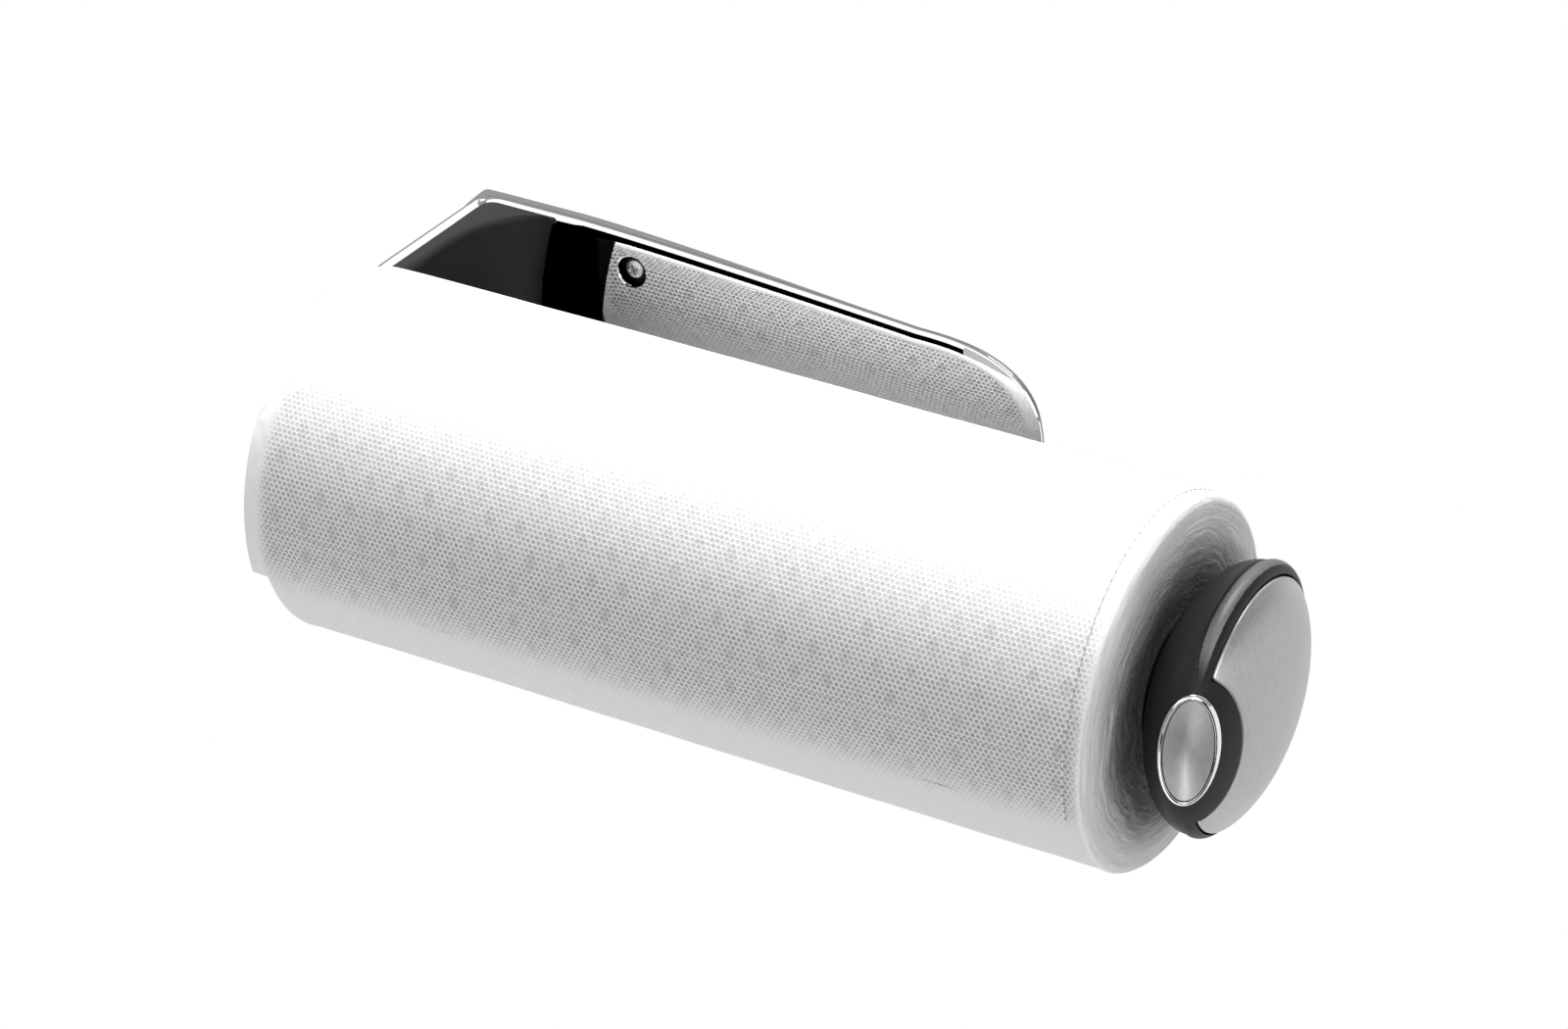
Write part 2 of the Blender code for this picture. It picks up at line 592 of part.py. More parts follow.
def make_knob(mats):
    at = (KNOB_X, AXIS_Y, 0)
    body = pebble("knob_body", 0.0, mats["dark"], bead=True)
    boolean(body, pebble("cavity_cut", KNOB_WALL, rows=10, segments=28))
    boolean(body, lathe("back_opening_cut", [(-20 * MM, 0), (-20 * MM, COVER_R + GAP),
                                             (-7 * MM, COVER_R + GAP), (-7 * MM, 0)], at=at))
    # recess for the cap: inside its outline, down to just under the cap
    y, z, half_y, half_z = CAP_OUTLINE
    recess = ellipse_prism("cap_recess_cut", y, z, half_y + GAP, half_z + GAP, CAP_BACK - GAP, 20 * MM)
    boolean(recess, ellipse_prism("bite_keep", BITE[0], BITE[1], BITE[2] - GAP, BITE[3] - GAP,
                                  -5 * MM, 25 * MM))
    boolean(recess, pebble("floor_keep", CAP_T + GAP))
    boolean(body, recess)

    # seat of the bezel, and the passage of the plunger
    bm = bmesh.new()
    seat = grown(BEZEL, GAP)
    add_rings(bm, [oval_ring(seat, 14 * MM, 0), oval_ring(seat, -BEZEL_DEPTH - GAP, 1)])
    boolean(body, finish(bm, "bezel_seat_cut", at=at))
    bm = bmesh.new()
    hole = grown(DISH, GAP)
    add_rings(bm, [oval_ring(hole, 14 * MM, 0), oval_ring(hole, -13 * MM, 0)])
    boolean(body, finish(bm, "plunger_passage_cut", at=at))

    cap = pebble("knob_cap", 0.0, mats["brushed"])
    boolean(cap, pebble("cap_inside_cut", CAP_T))
    boolean(cap, ellipse_prism("cap_outline", *CAP_OUTLINE, CAP_BACK, 20 * MM), "INTERSECT")
    boolean(cap, ellipse_prism("bite_cut", *BITE, -5 * MM, 25 * MM))

    bm = bmesh.new()
    out, hole = BEZEL, grown(BEZEL, -BEZEL_W)
    lip = BEZEL_W / 2
    rings = [oval_ring(out, -BEZEL_DEPTH, 1), oval_ring(out, -0.2 * MM, 1)]
    for i in range(1, 6):
        a = i / 6 * math.pi
        rings.append(oval_ring(grown(hole, lip + lip * math.cos(a)), -0.2 * MM + 0.7 * MM * math.sin(a), 1))
    rings += [oval_ring(hole, -0.2 * MM, 1), oval_ring(hole, -BEZEL_DEPTH, 1)]
    add_rings(bm, rings, closed=True)
    bezel = finish(bm, "button_bezel", mats["chrome"], at)
    return [body, cap, bezel]


def make_cover(mats):
    """Cover on the roll side, its socket sleeve, the hub for the roll and the screws."""
    at = (KNOB_X, AXIS_Y, 0)
    x0 = BACK_X
    x1 = BACK_X + COVER_T
    cover = lathe("back_cover", [(x0, SOCKET_R), (x0, COVER_R), (x1, COVER_R), (x1, SLEEVE_R),
                                 (4 * MM, SLEEVE_R), (4 * MM, SOCKET_R)], mats["dark"], at)
    slot = 0.8 * MM + CLIP_WIRE
    for sign, name in ((1, "upper_leg_cut"), (-1, "lower_leg_cut")):
        z = sorted((sign * 2.6 * MM, sign * 12 * MM))
        boolean(cover, box(name, (CLIP_X - slot, -12 * MM, z[0]), (CLIP_X + slot, 12 * MM, z[1]), at=at))
    boolean(cover, box("wedge_cut", (CLIP_X - 2.6 * MM, -12 * MM, -6 * MM),
                       (CLIP_X + 2.6 * MM, -2 * MM, 6 * MM), at=at))
    boolean(cover, box("clip_bow_cut", (CLIP_X - slot, 6.0 * MM, -6 * MM),
                       (CLIP_X + slot, 12 * MM, 6 * MM), at=at))

    hub_x = x0 - GAP
    end = ROLL_HALF - HUB_LEN - KNOB_X
    hub = lathe("right_hub", [(end, ROD_R + 0.5 * MM), (end, HUB_TIP_R), (end + 3 * MM, HUB_R),
                              (hub_x - 1.6 * MM, HUB_R), (hub_x, HUB_R - 1.6 * MM),
                              (hub_x, SOCKET_R + 1.5 * MM),
                              (hub_x - 1.6 * MM, SOCKET_R + 1.5 * MM), (hub_x - 1.6 * MM, ROD_R + 0.5 * MM)],
                mats["dark"], at)
    spots = [(13.3 * MM * math.cos(a), 13.3 * MM * math.sin(a))
             for a in (math.pi / 2, math.pi / 2 + math.tau / 3, math.pi / 2 + 2 * math.tau / 3)]
    head_x = hub_x - 4.0 * MM
    for target, name in ((cover, "cover_holes_cut"), (hub, "hub_holes_cut")):
        bm = bmesh.new()
        for y, z in spots:
            add_rings(bm, [[(x, y + r * math.cos(k * math.tau / 12), z + r * math.sin(k * math.tau / 12))
                            for k in range(12)]
                           for x, r in ((end - MM, 3.2 * MM), (head_x, 3.2 * MM), (head_x, 1.6 * MM),
                                        (x1 + MM, 1.6 * MM))])
        boolean(target, finish(bm, name, at=at))
    seats = [(KNOB_X + head_x - GAP, AXIS_Y + y, z) for y, z in spots]
    make_screws("knob_screw", seats, (-1, 0, 0), 2.8 * MM, 1.8 * MM, 1.3 * MM, 6.2 * MM,
                mats["screw"], 1.6 * MM)


def sweep(name, path, radius, mat, at=(0, 0, 0), sides=10):
    """Round wire along a path, with closed ends."""
    bm = bmesh.new()
    rings = []
    normal = None
    for i, p in enumerate(path):
        ahead, behind = path[min(i + 1, len(path) - 1)], path[max(i - 1, 0)]
        tangent = (ahead - behind).normalized()
        if normal is None:
            normal = tangent.orthogonal().normalized()
        normal = (normal - tangent * normal.dot(tangent)).normalized()
        side = tangent.cross(normal)
        rings.append([p + (normal * math.cos(k * math.tau / sides) + side * math.sin(k * math.tau / sides)) * radius
                      for k in range(sides)])
    add_rings(bm, rings)
    return finish(bm, name, mat, at)


def make_clip(mats):
    leg = GROOVE_R + CLIP_WIRE + 0.1 * MM
    bow_y = 6.2 * MM
    path = [Vector((CLIP_X, -9.4 * MM, leg + 1.6 * MM)), Vector((CLIP_X, -7.6 * MM, leg + 0.3 * MM)),
            Vector((CLIP_X, -6.0 * MM, leg)), Vector((CLIP_X, 0, leg)), Vector((CLIP_X, bow_y, leg))]
    for i in range(1, 12):
        a = math.pi / 2 - math.pi * i / 12
        path.append(Vector((CLIP_X, bow_y + leg * math.cos(a), leg * math.sin(a))))
    path += [Vector((p.x, p.y, -p.z)) for p in reversed(path[:5])]
    return sweep("latch_clip", path, CLIP_WIRE, mats["spring"], (KNOB_X, AXIS_Y, 0), 8)


# ---------------------------------------------------------------- button
def dish_ring(rho, back, n=OVAL_SEG):
    """Ring of the concave thumb face. back is the distance behind the face."""
    centre = BUTTON_AT - OUT * DISH_DEPTH
    ring = []
    for k in range(n):
        a = math.tau * k / n
        rim = BUTTON_AT + SIDE * (DISH[0] * math.cos(a)) + UP * (DISH[1] * math.sin(a))
        rise = surface_rise(rim) - 0.3 * MM + DISH_DEPTH
        flat = centre + SIDE * (DISH[0] * rho * math.cos(a)) + UP * (DISH[1] * rho * math.sin(a))
        ring.append(flat + OUT * (rise * rho * rho - back))
        if rho == 0:
            break
    return ring


def make_button(mats):
    at = (KNOB_X, AXIS_Y, 0)
    steps = 6
    front = [dish_ring(1 - i / steps, 0) for i in range(steps + 1)]
    back = [dish_ring(i / steps, DISH_T) for i in range(steps + 1)]
    bm = bmesh.new()
    add_rings(bm, front + back, closed=True)
    dish = finish(bm, "button_dish", mats["satin"], at)

    bm = bmesh.new()
    steps = 3
    front = [dish_ring(i / steps, DISH_T + GAP) for i in range(steps + 1)]
    add_rings(bm, front + [oval_ring(DISH, PLUNGER_BACK, 0)])
    plunger = finish(bm, "button_plunger", mats["dark"], at)
    # blade whose widening nose spreads the clip
    tip, root = Vector((CLIP_X, -9.9 * MM, 0)), BUTTON_AT + OUT * (PLUNGER_BACK + MM)
    bm = bmesh.new()
    rings = []
    for p, wide in ((tip, 2.6 * MM), (tip + OUT * 4 * MM, 4.4 * MM), (root, 4.4 * MM)):
        p = Vector((p.x, p.y, 0))
        rings.append([p + SIDE * s * 1.1 * MM + UP * t * wide for s, t in ((-1, -1), (1, -1), (1, 1), (-1, 1))])
    add_rings(bm, rings)
    boolean(plunger, finish(bm, "blade_add", at=at), "UNION")

    turns = SPRING_TURNS
    n = 12 * turns
    start = PLUNGER_BACK - SPRING_WIRE - 0.1 * MM
    path = []
    for i in range(n + 1):
        a = math.tau * turns * i / n
        base = BUTTON_AT + OUT * (start + (SPRING_END - start) * i / n)
        path.append(Vector((base.x, base.y, 0)) + SIDE * SPRING_R * math.cos(a) + UP * SPRING_R * math.sin(a))
    spring = sweep("button_spring", path, SPRING_WIRE, mats["spring"], at, 6)
    return [dish, plunger, spring]


def main():
    for obj in list(bpy.data.objects):
        bpy.data.objects.remove(obj)
    mats = {
        "mirror": material("mirror", (0.75, 0.75, 0.75), 0.06, 1.0),
        "satin": material("satin_steel", (0.6, 0.6, 0.6), 0.32, 1.0),
        "rod": material("rod_steel", (0.62, 0.62, 0.62), 0.25, 1.0),
        "brushed": material("brushed_steel", (0.66, 0.66, 0.65), 0.35, 1.0),
        "chrome": material("chrome", (0.85, 0.85, 0.85), 0.08, 1.0),
        "spring": material("spring_steel", (0.5, 0.5, 0.5), 0.35, 1.0),
        "screw": material("screw_steel", (0.45, 0.45, 0.45), 0.4, 1.0),
        "dark": material("dark_plastic", (0.024, 0.024, 0.024), 0.45, 0.0),
        "card": material("cardboard", (0.42, 0.3, 0.19), 0.9, 0.0),
        "paper": material("paper", (0.86, 0.86, 0.85), 0.95, 0.0),
    }
    make_bracket(mats)
    make_screws("wall_screw", [(x, -PLATE_T - GAP, z) for x, z in SCREW_SPOTS], (0, -1, 0),
                HEAD_R, HEAD_H, SHANK_R, WALL_SCREW_L, mats["screw"], 2.6 * MM)
    make_liner(mats)
    make_rod(mats)
    make_roll(mats)
    make_knob(mats)
    make_cover(mats)
    make_clip(mats)
    make_button(mats)


main()
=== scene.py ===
"""Looks of the wall-mounted paper towel holder: finer surfaces, materials, light and camera."""
import math

import bmesh
import bpy
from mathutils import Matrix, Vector, noise


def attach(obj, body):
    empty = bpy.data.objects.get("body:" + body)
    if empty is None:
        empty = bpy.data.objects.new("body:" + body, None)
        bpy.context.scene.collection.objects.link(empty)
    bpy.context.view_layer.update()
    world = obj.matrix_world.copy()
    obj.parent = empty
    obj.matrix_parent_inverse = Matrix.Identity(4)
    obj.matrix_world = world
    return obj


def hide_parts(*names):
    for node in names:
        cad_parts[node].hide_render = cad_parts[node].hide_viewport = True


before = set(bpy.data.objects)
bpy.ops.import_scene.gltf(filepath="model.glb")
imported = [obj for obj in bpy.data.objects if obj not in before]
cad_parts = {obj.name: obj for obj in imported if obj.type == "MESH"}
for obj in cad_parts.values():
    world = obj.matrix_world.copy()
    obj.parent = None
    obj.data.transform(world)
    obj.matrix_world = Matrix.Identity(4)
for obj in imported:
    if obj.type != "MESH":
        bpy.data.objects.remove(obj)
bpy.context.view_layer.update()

MM = 0.001
AXIS_Y = -104.5 * MM
ROLL_HALF = 139.7 * MM
ROLL_R = 56.8 * MM
SHEET_T = 0.45 * MM
SHEET_SHIFT = -3.0 * MM
SHEET_TAIL = math.radians(-160.8)
SHEET_SPAN = math.radians(285)
ROLL_EDGE = 3.5 * MM
CORE_R_IN, CORE_R_OUT = 20.5 * MM, 22.0 * MM

BAND_T, PLATE_T, GAP = 3.2 * MM, 3.4 * MM, 0.3 * MM
BAND_FRONT = -(PLATE_T + GAP + BAND_T)
ARM_INNER_X = -155.1 * MM
BEND_IN = 4.3 * MM
HALF_H = 40.0 * MM
NOSE_X, NOSE_H, NOSE_POWER = 44.3 * MM, 33.0 * MM, 2.55
TAPER_X, TAPER_POWER = -123.0 * MM, 1.3
ARM_TAPER_Y, ARM_NOSE = AXIS_Y + 46.0 * MM, 71.0 * MM
# the band's bevel, from the rounded edge to the flat face: (inset, depth), in mm
BEVEL = [(1.45, 1.13), (2.1, 0.79), (2.75, 0.48), (3.4, 0.2), (3.8, 0.1), (4.2, 0.03), (4.6, 0.0)]
BEVEL_DEEP, EDGE_R = 1.5, 1.6  # mm, depth where the bevel meets the rounded edge, and that edge
ARM_INSET = 0.35  # share of the bevel's width along the arm
LIP_X, LIP_Y, LIP_END_X = -160.5 * MM, -14.5 * MM, -158.9 * MM
LIP_SOFTEN = 12
PLATE_INSET, PLATE_NOSE_INSET = 0.5 * MM, 2.2 * MM
SCREW_SPOTS = [(-101.6 * MM, 27.3 * MM), (-101.6 * MM, -27.3 * MM), (18 * MM, 0.0)]
RECESS_R, RECESS_LEAD = 5.0 * MM, 0.45 * MM
SHANK_R, HEAD_R, HEAD_H = 1.8 * MM, 3.6 * MM, 2.0 * MM
BEND_X = ARM_INNER_X + BEND_IN
BEND_Y = BAND_FRONT - BEND_IN
BEND_LEN = math.pi / 2 * (BEND_IN + BAND_T / 2)

RIM_DEEP = 2.4 * MM  # the band is satin, not polished, beyond this depth
LINER_HALF = 39.3 * MM
LINER_FACE_X = -149.4 * MM
LINER_TOE_X, LINER_TOE_SWEEP = -135.8 * MM, 5.9 * MM
LINER_TOE_T = 0.7 * MM
TOE_STRIP_X, TOE_STRIP_SWEEP = -113.0 * MM, 6.6 * MM
FILLET_DROP = 35.3 * MM
LINER_ROUND = 2.0 * MM
FLANGE_R, FLANGE_T, ROD_R = 17.0 * MM, 3.0 * MM, 8.0 * MM
FLANGE_SCREW_H = 1.9 * MM

KNOB_X, KNOB_UP = 157.5 * MM, 1.3 * MM
KNOB_Y, KNOB_Z = 41.6 * MM, 40.0 * MM
KNOB_FRONT, KNOB_BACK, KNOB_FLAT = 14.6 * MM, 18.5 * MM, -14.0 * MM
CAP_T, KNOB_WALL = 1.2 * MM, 3.2 * MM
CAP_OUTLINE = (1.6 * MM, -0.35 * MM, 39.0 * MM, 37.85 * MM)  # centre y, z and half sizes
CAP_BACK, CAP_MIDDLE, CAP_EDGE = 0.6 * MM, 12.0 * MM, 0.75 * MM
BITE = (-36.0 * MM, 1.8 * MM, 16.5 * MM, 25.0 * MM)  # centre y, z and half sizes
BEAD_H, BEAD_W, BEAD_LOW = 1.25 * MM, 2.5 * MM, 0.45
GROOVE_W, GROOVE_D = 0.7 * MM, 0.35 * MM
BEAD_FADE = (math.radians(112), math.radians(144))
BEAD_THIN = 0.2  # share of the bead's width that is left where it has faded out
BEAD_LOOK = (-0.97, 0.55)  # the bead's own material lies between these places across it
BEAD_END_Z = -25.0 * MM  # and above this level
COVER_R = 18.0 * MM

PRESS = math.radians(21)
BUTTON_AT = Vector((3.7, -34.5, 4.2)) * MM
OUT = Vector((math.sin(PRESS), -math.cos(PRESS), 0))
SIDE = Vector((math.cos(PRESS), math.sin(PRESS), 0))
UP = Vector((0, 0, 1))
BEZEL = (8.7 * MM, 17.3 * MM)
BEZEL_W, BEZEL_DEPTH = 1.5 * MM, 3.6 * MM
DISH = (BEZEL[0] - BEZEL_W - GAP, BEZEL[1] - BEZEL_W - GAP)
DISH_T, DISH_DEPTH = 1.0 * MM, 4.4 * MM
OVAL_SEGMENTS = 112

QUILT_X, QUILT_Y = 10.5, 18.2  # mm, pitch of the paper's quilting
DOT_X, DOT_Y = 1.75, 3.03  # mm, pitch of its dots
# painted shade colour for the band's strip beside the liner's toe
# painted shade colour for the inside of the screw recesses
RECESS_SHADE, TOE_SHADE = (0.02, 0.02, 0.02), (0.004, 0.004, 0.004)

# camera, fitted to the roll's outline
CAM_AT = Vector((705.9, -1289.8, 790.4)) * MM
CAM_YAW, CAM_PITCH = math.radians(30.375), math.radians(29.309)
LENS = 123.79
FLOOR_Z = -0.42


# ---------------------------------------------------------------- node helpers
class Nodes:
    """Small wrapper that keeps a material's node graph readable."""

    def __init__(self, name):
        self.mat = bpy.data.materials.new(name)
        self.mat.use_nodes = True
        self.tree = self.mat.node_tree
        self.bsdf = self.tree.nodes["Principled BSDF"]

    def add(self, kind, **values):
        node = self.tree.nodes.new(kind)
        for key, value in values.items():
            setattr(node, key, value)
        return node

    def link(self, a, b):
        self.tree.links.new(a, b)

    def feed(self, socket, value):
        if isinstance(value, bpy.types.NodeSocket):
            self.link(value, socket)
        else:
            socket.default_value = value

    def math(self, operation, a, b=0.0, c=None):
        node = self.add("ShaderNodeMath", operation=operation)
        self.feed(node.inputs[0], a)
        self.feed(node.inputs[1], b)
        if c is not None:
            self.feed(node.inputs[2], c)
        return node.outputs[0]

    def vector(self, operation, a, b=(0, 0, 0)):
        node = self.add("ShaderNodeVectorMath", operation=operation)
        self.feed(node.inputs[0], a)
        self.feed(node.inputs[1], b)
        return node.outputs[1] if operation == "LENGTH" else node.outputs[0]

    def split(self, at):
        node = self.add("ShaderNodeSeparateXYZ")
        self.link(at, node.inputs[0])
        return node.outputs

    def step(self, value, low, high, out_low=0.0, out_high=1.0):
        """Smooth change from out_low at low to out_high at high."""
        node = self.add("ShaderNodeMapRange", interpolation_type="SMOOTHSTEP")
        self.feed(node.inputs[0], value)
        for i, v in enumerate((low, high, out_low, out_high), 1):
            self.feed(node.inputs[i], v)
        return node.outputs[0]

    def place(self, scale=(1, 1, 1)):
        """Object coordinates, scaled."""
        coords = self.add("ShaderNodeTexCoord")
        return self.vector("MULTIPLY", coords.outputs["Object"], scale)

    def noise(self, at, scale, detail=2.0, rough=0.5):
        node = self.add("ShaderNodeTexNoise")
        self.feed(node.inputs["Vector"], at)
        node.inputs["Scale"].default_value = scale
        node.inputs["Detail"].default_value = detail
        node.inputs["Roughness"].default_value = rough
        return node.outputs[0]

    def mix(self, factor, a, b):
        node = self.add("ShaderNodeMix", data_type="RGBA")
        self.feed(node.inputs["Factor"], factor)
        self.feed(node.inputs[6], (*a, 1) if isinstance(a, tuple) else a)
        self.feed(node.inputs[7], (*b, 1) if isinstance(b, tuple) else b)
        return node.outputs[2]

    def bump(self, height, distance, strength):
        node = self.add("ShaderNodeBump")
        node.inputs["Distance"].default_value = distance
        node.inputs["Strength"].default_value = strength
        self.feed(node.inputs["Height"], height)
        self.link(node.outputs[0], self.bsdf.inputs["Normal"])

    def set(self, **values):
        for key, value in values.items():
            self.feed(self.bsdf.inputs[key.replace("_", " ")], value)


def grey(level):
    return level, level, level


def steel(name, colour, rough, grain, grain_scale, depth=0.004 * MM, spread=0.08, recesses=False):
    """Metal with a fine grain. Grain is the stretch of the noise: small along the brush lines."""
    n = Nodes(name)
    grain_noise = n.noise(n.place(grain), grain_scale, 3.0, 0.6)
    cloud = n.noise(n.place(), 60, 2.0)
    shade = tuple(c * 0.86 for c in colour)
    tone = n.mix(n.step(grain_noise, 0.3, 0.7), shade, colour)
    # with recesses, painted shade darkens the inside of the screw recesses
    if recesses:
        tone = n.mix(screw_shade(n, -PLATE_T - MM), tone, RECESS_SHADE)
    n.set(Base_Color=tone, Metallic=1.0)
    both = n.math("ADD", n.math("MULTIPLY", grain_noise, spread), n.math("MULTIPLY", cloud, spread * 0.5))
    n.set(Roughness=n.math("ADD", both, rough - spread * 0.75))
    n.bump(grain_noise, depth, 0.6)
    return n.mat


def screw_shade(n, front):
    """Painted shade: 1 inside the screw recesses, behind the given depth."""
    at = n.place()
    behind = n.step(n.split(at)[1], front, front + 0.15 * MM)
    reach = None
    for x, z in SCREW_SPOTS:
        away = n.vector("MULTIPLY", n.vector("SUBTRACT", at, (x, 0, z)), (1, 0, 1))
        away = n.vector("LENGTH", away)
        reach = away if reach is None else n.math("MINIMUM", reach, away)
    near = n.step(reach, RECESS_R + 0.1 * MM, RECESS_R + 0.25 * MM, 1.0, 0.0)
    return n.math("MULTIPLY", behind, near)


def toe_shade(n):
    """Painted shade: 1 on the strip of the band beside the liner's toe, which is blackened to stand in for
    the liner's dark reflection and shadow there.
    """
    x, y, z = n.split(n.place())
    height = n.math("DIVIDE", z, LINER_HALF)
    edge = n.math("MULTIPLY_ADD", n.math("MULTIPLY", height, height), TOE_STRIP_SWEEP, TOE_STRIP_X)
    before_edge = n.step(n.math("SUBTRACT", x, edge), -0.15 * MM, 0.15 * MM, 1.0, 0.0)
    in_front = n.step(y, BAND_FRONT + 0.2 * MM, BAND_FRONT + 0.3 * MM, 1.0, 0.0)
    past_bend = n.step(x, BEND_X, BEND_X + MM)
    return n.math("MULTIPLY", n.math("MULTIPLY", past_bend, in_front), before_edge)


def mirror_steel(name, recesses=False):
    n = Nodes(name)
    haze = n.noise(n.place(), 35, 3.0)
    tone = n.mix(haze, (0.78, 0.785, 0.785), grey(0.84))
    # with recesses, painted shade darkens the inside of the screw recesses and the band's strip beside the
    # liner's toe
    if recesses:
        tone = n.mix(screw_shade(n, BAND_FRONT + 0.35 * MM), tone, RECESS_SHADE)
        tone = n.mix(toe_shade(n), tone, TOE_SHADE)
    n.set(Base_Color=tone, Metallic=1.0)
    n.set(Roughness=n.step(haze, 0.3, 0.75, 0.006, 0.014))
    return n.mat


def bead_metal(name):
    """Satin metal on the top of the knob, which turns into dark plastic lower down: a painted highlight,
    light at the top and fading with height.
    """
    n = Nodes(name)
    # painted light: lighter metal at the top, where the light falls, fading to dark plastic below
    painted_top_light = n.step(n.split(n.place())[2], 22 * MM, 39 * MM)
    grain = n.noise(n.place(), 1800, 3.0, 0.6)
    light = n.mix(n.step(grain, 0.3, 0.7), grey(0.19), grey(0.25))
    n.set(Base_Color=n.mix(painted_top_light, grey(0.012), light), Metallic=painted_top_light)
    n.bsdf.inputs["Specular IOR Level"].default_value = 0.16
    n.set(Roughness=n.math("ADD", 0.42, n.math("MULTIPLY", grain, 0.1)))
    n.bump(grain, 0.01 * MM, 0.6)
    return n.mat


def plastic(name, colour, rough, shine):
    """Satin moulded plastic with a fine spark texture."""
    n = Nodes(name)
    grain = n.noise(n.place(), 2600, 3.0, 0.7)
    wide = n.noise(n.place(), 45, 2.0)
    light = tuple(c * 1.25 for c in colour)
    n.set(Base_Color=n.mix(n.step(wide, 0.3, 0.7), colour, light), Metallic=0.0)
    uneven = n.math("ADD", grain, n.math("MULTIPLY", wide, 0.5))
    n.set(Roughness=n.step(uneven, 0.4, 1.1, rough - 0.06, rough + 0.08))
    n.bsdf.inputs["Specular IOR Level"].default_value = shine
    n.bump(grain, 0.012 * MM, 0.5)
    return n.mat


def cardboard(name):
    n = Nodes(name)
    fibres = n.noise(n.place((0.25, 1, 1)), 900, 4.0, 0.65)
    turn = n.noise(n.place((8, 1, 1)), 30, 2.0)
    n.set(Base_Color=n.mix(n.math("MULTIPLY", fibres, turn), (0.20, 0.17, 0.14), (0.46, 0.41, 0.34)))
    n.set(Roughness=0.92)
    n.bump(fibres, 0.05 * MM, 0.6)
    return n.mat


def to_cell_middle(n, uv, pitch, offset):
    """Way from the middle of a lattice's cell, in cells."""
    cell = n.vector("ADD", n.vector("MULTIPLY", uv, (1 / pitch[0], 1 / pitch[1], 0)), offset)
    return n.vector("SUBTRACT", n.vector("FRACTION", cell), (0.5, 0.5, 0))


def lattice(n, uv, pitch, stretch=1.0):
    """Distance to the nearest point of a staggered lattice."""
    size = (pitch[0], pitch[1] * stretch, 0)
    rows = [n.vector("LENGTH", n.vector("MULTIPLY", to_cell_middle(n, uv, pitch, offset), size))
            for offset in ((0, 0, 0), (0.5, 0.5, 0))]
    return n.math("MINIMUM", *rows)


def seams(n, uv, wobble, lean):
    """Distance to the quilting's seams, which lean to one side or, with lean -1, to the other."""
    across, around, _ = n.split(n.vector("MULTIPLY", uv, (1 / QUILT_X, lean / QUILT_Y, 0)))
    along = n.math("ADD", n.math("ADD", across, around), n.math("MULTIPLY", wobble, 0.12))
    return n.math("ABSOLUTE", n.math("SUBTRACT", n.math("FRACT", along), 0.5))


def paper(name):
    """Embossed tissue. UVs are in millimetres: across the sheet, then around the roll."""
    n = Nodes(name)
    uv = n.add("ShaderNodeUVMap", uv_map="sheet").outputs[0]
    dots = n.step(lattice(n, uv, (DOT_X, DOT_Y)), 0.40, 0.86, 1.0, 0.0)

    # larger dimples, some deeper than others, over a soft diagonal quilting
    dimple = n.step(lattice(n, uv, (QUILT_X, QUILT_Y), 0.62), 0.9, 2.4, 1.0, 0.0)
    dimple = n.math("MULTIPLY", dimple, n.step(n.noise(uv, 0.11, 2.0), 0.35, 0.65, 0.25, 1.0))
    wobble = n.noise(uv, 0.35, 2.0)
    quilt = n.math("MINIMUM", seams(n, uv, wobble, 1), seams(n, uv, wobble, -1))
    quilt = n.step(quilt, 0.0, 0.25)

    # the pattern stops short of the roll's ends, and shows most where the paper faces the front: its dots
    # and dimples carry painted shade, weakest on the lit top and the underside
    inside = n.step(n.math("ABSOLUTE", n.split(uv)[0]), 134.0, 139.0, 1.0, 0.0)
    upward = n.split(n.add("ShaderNodeNewGeometry").outputs["Normal"])[2]
    facing_shade = n.math("MULTIPLY", n.step(upward, -0.45, -0.10, 0.12, 1.0), n.step(upward, 0.15, 0.85, 1.0, 0.25))
    patchy = n.step(n.noise(uv, 0.9, 3.0, 0.6), 0.3, 0.7, 0.6, 1.0)
    dot_press_and_shade = n.math("MULTIPLY", n.math("MULTIPLY", n.math("MULTIPLY", dots, inside), patchy), facing_shade)
    hollow = n.math("MULTIPLY", n.math("MULTIPLY", dimple, inside), facing_shade)

    fibre = n.noise(uv, 3.2, 4.0, 0.7)
    height = n.math("SUBTRACT", n.math("MULTIPLY", quilt, 0.5), dot_press_and_shade)
    height = n.math("SUBTRACT", height, n.math("MULTIPLY", hollow, 1.1))
    height = n.math("ADD", height, n.math("MULTIPLY", fibre, 0.35))
    # painted shade: the dots and dimples are coloured darker than the paper
    colour = n.mix(n.math("MULTIPLY", dot_press_and_shade, 0.85), (0.87, 0.875, 0.875), (0.24, 0.25, 0.25))
    colour = n.mix(n.math("MULTIPLY", hollow, 0.4), colour, (0.42, 0.43, 0.43))
    n.set(Base_Color=colour, Roughness=0.96)
    n.bsdf.inputs["Specular IOR Level"].default_value = 0.15
    n.bump(height, 0.32 * MM, 0.9)
    return n.mat


